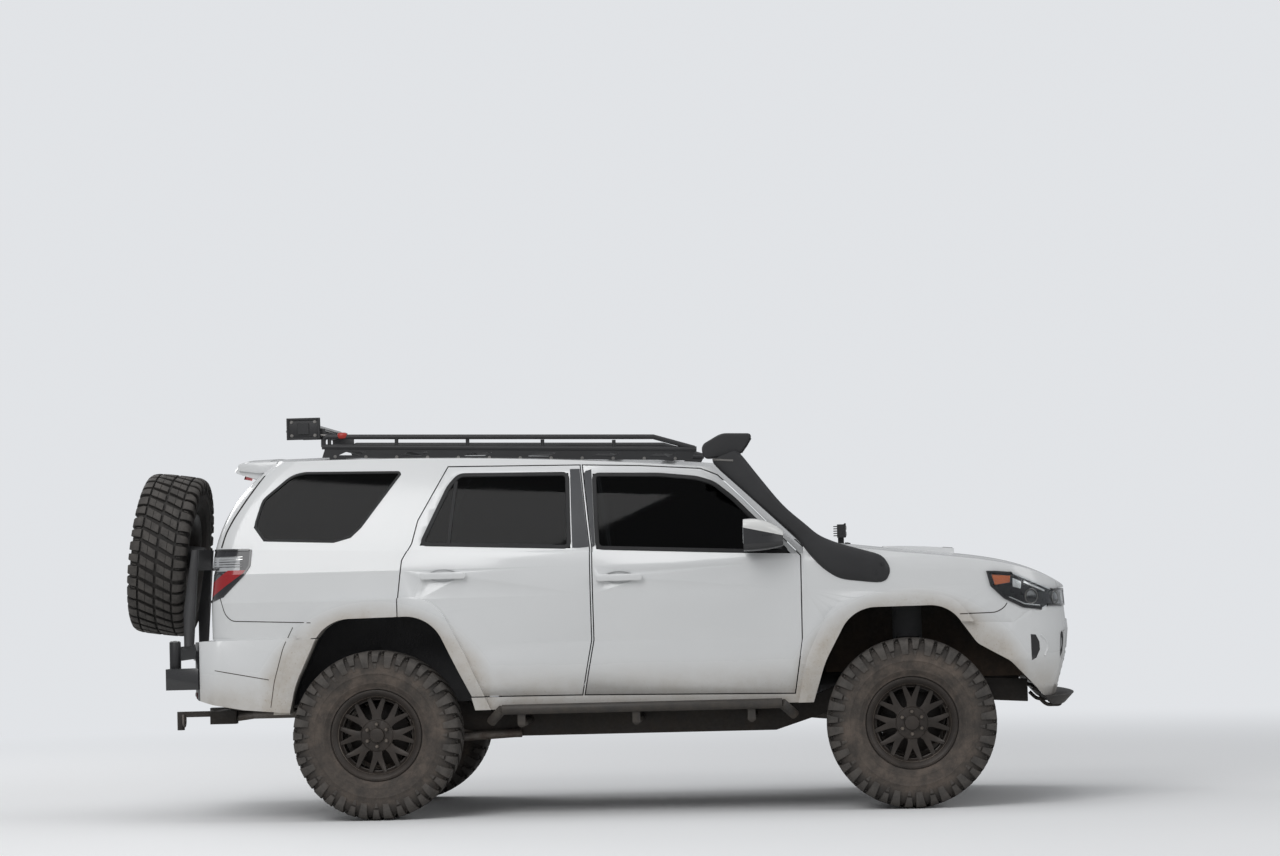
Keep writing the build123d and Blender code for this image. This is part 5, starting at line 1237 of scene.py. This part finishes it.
# Rear end: bare number plate, reflectors, high brake lamp, gate handle, hitch pin and shackle
PLATE = rectangle(0.345, 0.655, 0.715, 0.865)
on_rear_bumper = end_cast(-1, "rear_bumper")
patch("number_plate", PLATE, on_rear_bumper, 0.005, 0.006, plate_white, spacing=0.05, bevel=0.0015)
strip("number_plate_frame", laid(PLATE, on_rear_bumper, 0.05, 0.02, True), 0.012, 0.007, black_trim)
spots = [(0.40, 0.843), (0.60, 0.843)]
made(bolted(on_rear_bumper, spots, 0.005, 0.003, lift=0.005), "number_plate_bolts", steel)
for name, side in SIDES:
    reflector = rectangle(*sorted((side * 0.70, side * 0.84)), 0.652, 0.684)
    patch("rear_reflector_" + name, reflector, on_rear_bumper, 0.004, 0.005, lens_red, spacing=0.03,
          bevel=0.001)
    step = laid([(side * 0.20, 0.925), (side * 0.66, 0.925)], on_rear_bumper, 0.05)
    strip("bumper_step_" + name, step, 0.020, 0.004, black_trim)
on_gate = end_cast(-1, "tailgate")
brake_lamp = Form().block((0.240, 0.020, 0.005), facing((-1.9145, 0.0, 1.8300), (-0.92, 0, 0.39)))
made(brake_lamp, "high_brake_lamp", lens_red, "tailgate", 0.0015)
handle = rectangle(-0.16, 0.16, 1.315, 1.352)
patch("gate_handle", handle, on_gate, 0.010, 0.012, black_trim, "tailgate", 0.04, bevel=0.003)
strip("gate_crease", laid([(-0.55, 1.085), (0.55, 1.085)], on_gate, 0.05), 0.010, 0.003, paint, "tailgate")
PIN_X, HOOK_X = REAR_X - 0.985, REAR_X - 1.150
pin_at = facing((PIN_X, 0, 0.536), LEFT)
pin = Form().round(0.0074, -0.056, 0.056, pin_at).round(0.013, 0.050, 0.060, pin_at)
made(pin, "hitch_pin", bright, bevel=0.0008)
CLIP = ((0.0, 0.548), (0.0, 0.520), (0.013, 0.512), (0.013, 0.552))
SHACKLE = ((-0.192, 0.547), (-0.196, 0.500), (-0.170, 0.478), (-0.144, 0.500), (-0.148, 0.547))
wire("hitch_clip", rounded([(PIN_X + x, -0.050, z) for x, z in CLIP], 0.008), 0.0022, bright)
wire("hook_shackle", rounded([(HOOK_X, y, z) for y, z in SHACKLE], 0.03), 0.0085, steel)

# Spare carrier: hinge cap, bolts and latch
behind_carrier = end_cast(-1, "spare_carrier")
at = facing(top_cast("spare_carrier")(REAR_X - 1.075, -0.800)[0], UP, FORWARD)
cap = Form().ring(at, 0.026, 0.008, 0.005).bolt(at, 0.010, 0.007)
spots = [(y, 0.86) for y in (-0.70, -0.52, -0.30, -0.08)]
made(bolted(behind_carrier, spots, 0.009, 0.006, cap), "carrier_bolts", bright, "spare_carrier")
at = facing(*behind_carrier(0.03, 0.86))
latch = Form().block((0.060, 0.030, 0.018), at, (0, 0, 0.008))
latch.block((0.018, 0.090, 0.010), at, (0.010, 0.020, 0.020))
made(latch, "carrier_latch", bright, "spare_carrier", 0.002)

# Fuel flap on the left quarter: its gap drawn as a thin dark strip, painted shade of the gap
flap = at_rear_axle(*rectangle(-420, -250, 1170, 1330))
strip("fuel_flap_gap", laid(flap, side_cast(1, "body_side_left"), 0.02, 0.03, True), 0.0035, 0.0008, seal)


# Springs
def coil(name, foot, head, radius, rod, turns=6, parts=16):
    """A coil spring between two points."""
    foot, head = Vector(foot), Vector(head)
    at = facing(foot, head - foot, FORWARD)
    rise = (head - foot).length / (turns * parts)
    angles = [2 * math.pi * k / parts for k in range(turns * parts + 1)]
    points = [at @ Vector((radius * math.cos(angle), radius * math.sin(angle), rise * k))
              for k, angle in enumerate(angles)]
    wire(name, points, rod, chassis_black, sides=2)


for name, side in SIDES:
    coil("rear_spring_" + name, (REAR_X, side * 0.510, 0.492), (REAR_X, side * 0.510, 0.730), 0.062, 0.008)
    coil("front_spring_" + name, (FRONT_X, side * 0.543, 0.556), (FRONT_X, side * 0.515, 0.770), 0.056, 0.007)


# Cabin: seats
# The form of a pad: how it rounds off to its edge, then shares of its half length or width
EDGE_POWER, EDGE_ROUND = 5, 0.42
BOLSTER_AT, BOLSTER_WIDTH = 0.78, 0.17
SEAM_WIDTH = 0.030
PULL_X, PULL_Y = 0.030, 0.035
# In metres
SEAM_DEPTH = 0.007


def hump(share, middle, width):
    """1 in the middle, and near 0 beyond its width."""
    return math.exp(-((share - middle) / width) ** 2)


def pad(name, at, length, width, thick, crown, bolster, seams=(), steps=26):
    """A crowned cushion: X along, Y across, Z out of the seat; its sides pull in between the corners.
    A seam is a share of the length, or of the width where it is marked as across."""
    form = Form()
    shares = [-math.cos(math.pi * i / steps) for i in range(steps + 1)]
    front = {}
    faces = []
    for layer in (1, -1):
        grid = {}
        for i, u in enumerate(shares):
            for j, v in enumerate(shares):
                if layer < 0 and (i in (0, steps) or j in (0, steps)):
                    grid[i, j] = front[i, j]
                    continue
                edge = ((1 - abs(u) ** EDGE_POWER) * (1 - abs(v) ** EDGE_POWER)) ** EDGE_ROUND
                z = layer * edge * thick * 0.5
                if layer > 0:
                    z += crown * (1 - u * u) * (1 - v * v)
                    z += bolster * hump(abs(v), BOLSTER_AT, BOLSTER_WIDTH) * edge
                    for seam, across in seams:
                        z -= SEAM_DEPTH * hump(v if across else u, seam, SEAM_WIDTH) * edge
                x = u * length / 2 * (1 - PULL_X * (1 - v * v))
                y = v * width / 2 * (1 - PULL_Y * (1 - u * u))
                grid[i, j] = len(form.verts)
                form.verts.append(at @ Vector((x, y, z)))
        front = front or grid
        faces += [[grid[i, j], grid[i + 1, j], grid[i + 1, j + 1], grid[i, j + 1]]
                  for i in range(steps) for j in range(steps)]
    form.faces = faces
    piece = made(form, name, cloth, smooth_angle=75.0)
    rim = [(i, 0) for i in range(steps)] + [(steps, j) for j in range(steps)]
    rim += [(steps - i, steps) for i in range(steps)] + [(0, steps - j) for j in range(steps)]
    wire(name + "_piping", [form.verts[front[key]] for key in rim], 0.0028, cabin_trim, closed=True, sides=1,
         slot="seat_fabric")
    return piece


def leaning(x, y, z, lean):
    """A frame for a seat back: X up along it, Z forward out of it."""
    up_vector = Vector((-math.sin(lean), 0, math.cos(lean)))
    out_vector = Vector((math.cos(lean), 0, math.sin(lean)))
    return framed((up_vector, out_vector.cross(up_vector), out_vector), (x, y, z))


SEAT_Z, SEAT_BACK_Z = 0.917, 1.195
SEAT_LEAN = 0.37
SEAT_LENGTH = 0.520
# Rows of seats: name, place of the cushion's rear edge, the seats' distance from the middle, width and
# bolster, then the head restraints' y, height, length and width
SEAT_ROWS = (
    ("front", REAR_X + 1.180, 0.370, 0.490, 0.020, (0.370, -0.370), 1.500, 0.155, 0.250),
    ("rear", REAR_X + 0.330, 0.285, 0.560, 0.008, (0.370, 0.0, -0.370), 1.482, 0.115, 0.225),
)
CUSHION_SEAMS = ((0.52, True), (-0.52, True), (-0.15, False), (0.35, False))
BACK_SEAMS = ((0.50, True), (-0.50, True), (0.30, False), (-0.25, False))
seat_hard = Form()
for row, x, out, width, bolster, restraints, high, tall, wide in SEAT_ROWS:
    for name, side in SIDES:
        y = side * out
        tag = row + "_" + name
        flat = Matrix.Translation((x + 0.262, y, SEAT_Z))
        base = pad("seat_cushion_" + tag, flat, SEAT_LENGTH, width, 0.085, 0.012, bolster, CUSHION_SEAMS)
        back = leaning(x - 0.030, y, SEAT_BACK_Z, SEAT_LEAN)
        pad("seat_back_" + tag, back, SEAT_LENGTH, width * 0.98, 0.105, 0.010, bolster, BACK_SEAMS)
        if row == "front":
            if name == "left":
                first_cushion = base
            seat_hard.block((0.44, 0.40, 0.055), (x + 0.255, y, 0.850))
            for rail in (-0.19, 0.19):
                seat_hard.block((0.46, 0.030, 0.035), (x + 0.255, y + rail, 0.640))
                seat_hard.block((0.40, 0.012, 0.180), (x + 0.255, y + rail, 0.735))
            seat_hard.block((0.44, 0.42, 0.020), leaning(x - 0.088, y, 1.175, SEAT_LEAN))
    for k, y in enumerate(restraints):
        at = leaning(x - 0.180, y, high, 0.12)
        pad("head_restraint_%s_%d" % (row, k), at, tall, wide, 0.085, 0.006, 0.0)
        for post in (-0.05, 0.05):
            at = leaning(x - 0.160, y + post, high - 0.115, 0.20) @ Matrix.Rotation(math.pi / 2, 4, "Y")
            seat_hard.round(0.006, -0.010, 0.085, at, 12)
seat_hard.block((0.40, 1.10, 0.20), (REAR_X + 0.590, 0, 0.775))
made(seat_hard, "seat_frames", cabin_trim, bevel=0.006)
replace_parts(first_cushion, "seats")

# Cabin: dashboard, controls and mirror
MIDDLE_LEAN, CLUSTER_LEAN = -0.25, 0.15
dash = Form().block((0.020, 0.230, 0.130), turned_at((REAR_X + 1.915, 0.0, 1.205), MIDDLE_LEAN))
for y in (0.16, -0.16, 0.56, -0.56):
    dash.block((0.014, 0.095, 0.050), (REAR_X + 1.925, y, 1.235))
dash.block((0.150, 0.300, 0.030), turned_at((REAR_X + 1.960, 0.370, 1.315), CLUSTER_LEAN))
made(dash, "dash_modules", gloss_black, bevel=0.006, slot="interior")
screen = Form().block((0.004, 0.190, 0.100), turned_at((REAR_X + 1.903, 0.0, 1.203), MIDDLE_LEAN))
screen.block((0.004, 0.230, 0.075), turned_at((REAR_X + 1.915, 0.370, 1.268), CLUSTER_LEAN))
made(screen, "dash_screens", mirror_glass, bevel=0.001, slot="interior")
controls = Form()
for y in (-0.075, 0.0, 0.075):
    controls.round(0.020, 0.0, 0.020, facing((REAR_X + 1.900, y, 1.095), (-1, 0, 0.3)), 24, 0.92)
lever_at = facing((REAR_X + 1.560, 0.0, 0.900), (-0.12, 0, 1), LEFT)
controls.round(0.009, 0.0, 0.130, lever_at, 16, 0.8)
controls.turned([(0.0001, 0.115), (0.018, 0.120), (0.025, 0.140), (0.022, 0.165), (0.010, 0.176),
                 (0.0001, 0.178)], lever_at, 24)
for y in (0.45, 0.33):
    controls.block((0.012, 0.070, 0.090), turned_at((REAR_X + 2.080, y, 0.800), -0.5))
    controls.block((0.090, 0.012, 0.012), turned_at((REAR_X + 2.120, y, 0.830), -0.3))
made(controls, "cabin_controls", cabin_trim, bevel=0.002)
inner_mirror = Form().block((0.030, 0.230, 0.060), (0.880, 0.0, 1.645))
inner_mirror.round(0.008, 0.0, 0.075, facing((0.885, 0.0, 1.660), (0.62, 0, 0.5), LEFT), 12)
made(inner_mirror, "cabin_mirror", cabin_trim, bevel=0.010)

# Door linings: arm rest, band, latch and speaker
for name, side in SIDES:
    for part, low, high in (("front", 1300, 2020), ("rear", 620, 1040)):
        tag = part + "_" + name
        node = "door_" + tag
        card = cast(lambda x, z: (x, side * 0.30, z), (0, side, 0), node)
        line = laid(at_rear_axle((low, 1010), (high, 1040)), card, 0.05)
        soften(strip("arm_rest_" + tag, line, 0.075, 0.050, cabin_trim, node), 0.008)
        line = laid(at_rear_axle((low, 1165), (high, 1190)), card, 0.05)
        strip("door_band_" + tag, line, 0.030, 0.006, gloss_black, node, "interior")
        pull = (low + high) / 2
        line = laid(at_rear_axle((pull + 150, 1235), (pull + 245, 1235)), card, 0.02)
        strip("door_latch_" + tag, line, 0.020, 0.012, bright, node, "interior")
        place, normal = card(REAR_X + low / 1000 + 0.18, 0.80)
        if place is not None:
            at = facing(place, normal)
            speaker = Form().ring(at, 0.085, 0.010, 0.008).dome(at, 0.074, 0.006, 4, 32)
            made(speaker, "door_speaker_" + tag, cabin_trim, node)

# Camera of the photograph
CAMERA_PLACE = (1.2234, -19.1606, 1.25)
CAMERA_TURN, CAMERA_RISE, CAMERA_ROLL = 0.0506, 0.0416, -0.0258
CAMERA_LENS = 98.4375
level = Vector((math.cos(CAMERA_TURN), math.sin(CAMERA_TURN), 0))
flat_ahead = Vector((-math.sin(CAMERA_TURN), math.cos(CAMERA_TURN), 0))
ahead = flat_ahead * math.cos(CAMERA_RISE) + Vector((0, 0, math.sin(CAMERA_RISE)))
upward = level.cross(ahead)
right = level * math.cos(CAMERA_ROLL) + upward * math.sin(CAMERA_ROLL)
camera_up = upward * math.cos(CAMERA_ROLL) - level * math.sin(CAMERA_ROLL)
camera_data = bpy.data.cameras.new("camera")
camera_data.lens = CAMERA_LENS
camera_data.sensor_width = 36.0
camera_data.clip_end = 200.0
camera = link(bpy.data.objects.new("camera", camera_data))
camera.matrix_world = framed((right, camera_up, -ahead), CAMERA_PLACE)
scene.camera = camera

# Floor: pale, with the object's shadow near it and the backdrop's colour far out
BACKDROP = (0.90, 0.92, 0.95)
BACKDROP_LIGHT = 0.84
FLOOR_REACH = 60
floor_look = Look("studio_floor", "floor_pan", {"Roughness": 0.9})
seen_floor = floor_look.point.step("ShaderNodeLightPath", "Is Camera Ray", {})
floor_tone = floor_look.noise(0.6).mix((0.62, 0.62, 0.61), (0.65, 0.65, 0.64))
floor_look.set({"Base Color": seen_floor.mix(floor_tone, (0.93, 0.935, 0.94))})
reach = (floor_look.x * floor_look.x + floor_look.y * floor_look.y).maths("SQRT")
glow = reach.step("ShaderNodeEmission", 0, {"Color": BACKDROP, "Strength": BACKDROP_LIGHT})
near_floor = Field(floor_look.tree, floor_look.shader.outputs[0])
fade = reach.step("ShaderNodeMixShader", 0, {0: reach.ramp(3.5, 12.0) * seen_floor, 1: near_floor, 2: glow})
feed(floor_look.tree.nodes["Material Output"].inputs["Surface"], fade)
floor_mesh = bpy.data.meshes.new("studio_floor")
floor_edge = rectangle(-FLOOR_REACH, FLOOR_REACH, -FLOOR_REACH, FLOOR_REACH)
floor_mesh.from_pydata([(x, y, 0) for x, y in floor_edge], [], [[0, 1, 2, 3]])
floor_mesh.materials.append(floor_look.material)
link(bpy.data.objects.new("studio_floor", floor_mesh))

# Backdrop and lamps
AMBIENT = 0.40
world = bpy.data.worlds.new("studio")
scene.world = world
world.use_nodes = True
sky = world.node_tree
path = sky.nodes.new("ShaderNodeLightPath")
direct, through_glass = (Field(sky, path.outputs[kind]) for kind in ("Is Camera Ray", "Is Transmission Ray"))
seen = direct.maths("MAXIMUM", through_glass)
light = seen.step("ShaderNodeMapRange", 0, {"Value": seen, "To Min": AMBIENT, "To Max": BACKDROP_LIGHT})
feed(sky.nodes["Background"].inputs["Color"], BACKDROP)
feed(sky.nodes["Background"].inputs["Strength"], light)
# Lamps: place, size, power; each is aimed at the middle of the car
LAMPS = {
    "key": ((-3.5, -8.0, 7.5), 6.0, 380.0), "fill": ((8.5, -4.5, 4.0), 5.0, 120.0),
    "rear": ((-7.0, 7.0, 6.0), 5.0, 240.0), "top": ((0.0, 0.0, 8.0), 6.0, 110.0),
}
CAR_MIDDLE = Vector((0, 0, 0.9))
for name, (place, size, power) in LAMPS.items():
    lamp_data = bpy.data.lights.new(name, "AREA")
    lamp_data.size = size
    lamp_data.energy = power
    lamp = link(bpy.data.objects.new(name, lamp_data))
    lamp.location = place
    lamp.rotation_euler = (CAR_MIDDLE - Vector(place)).to_track_quat("-Z", "Y").to_euler()
scene.view_settings.view_transform = "Standard"
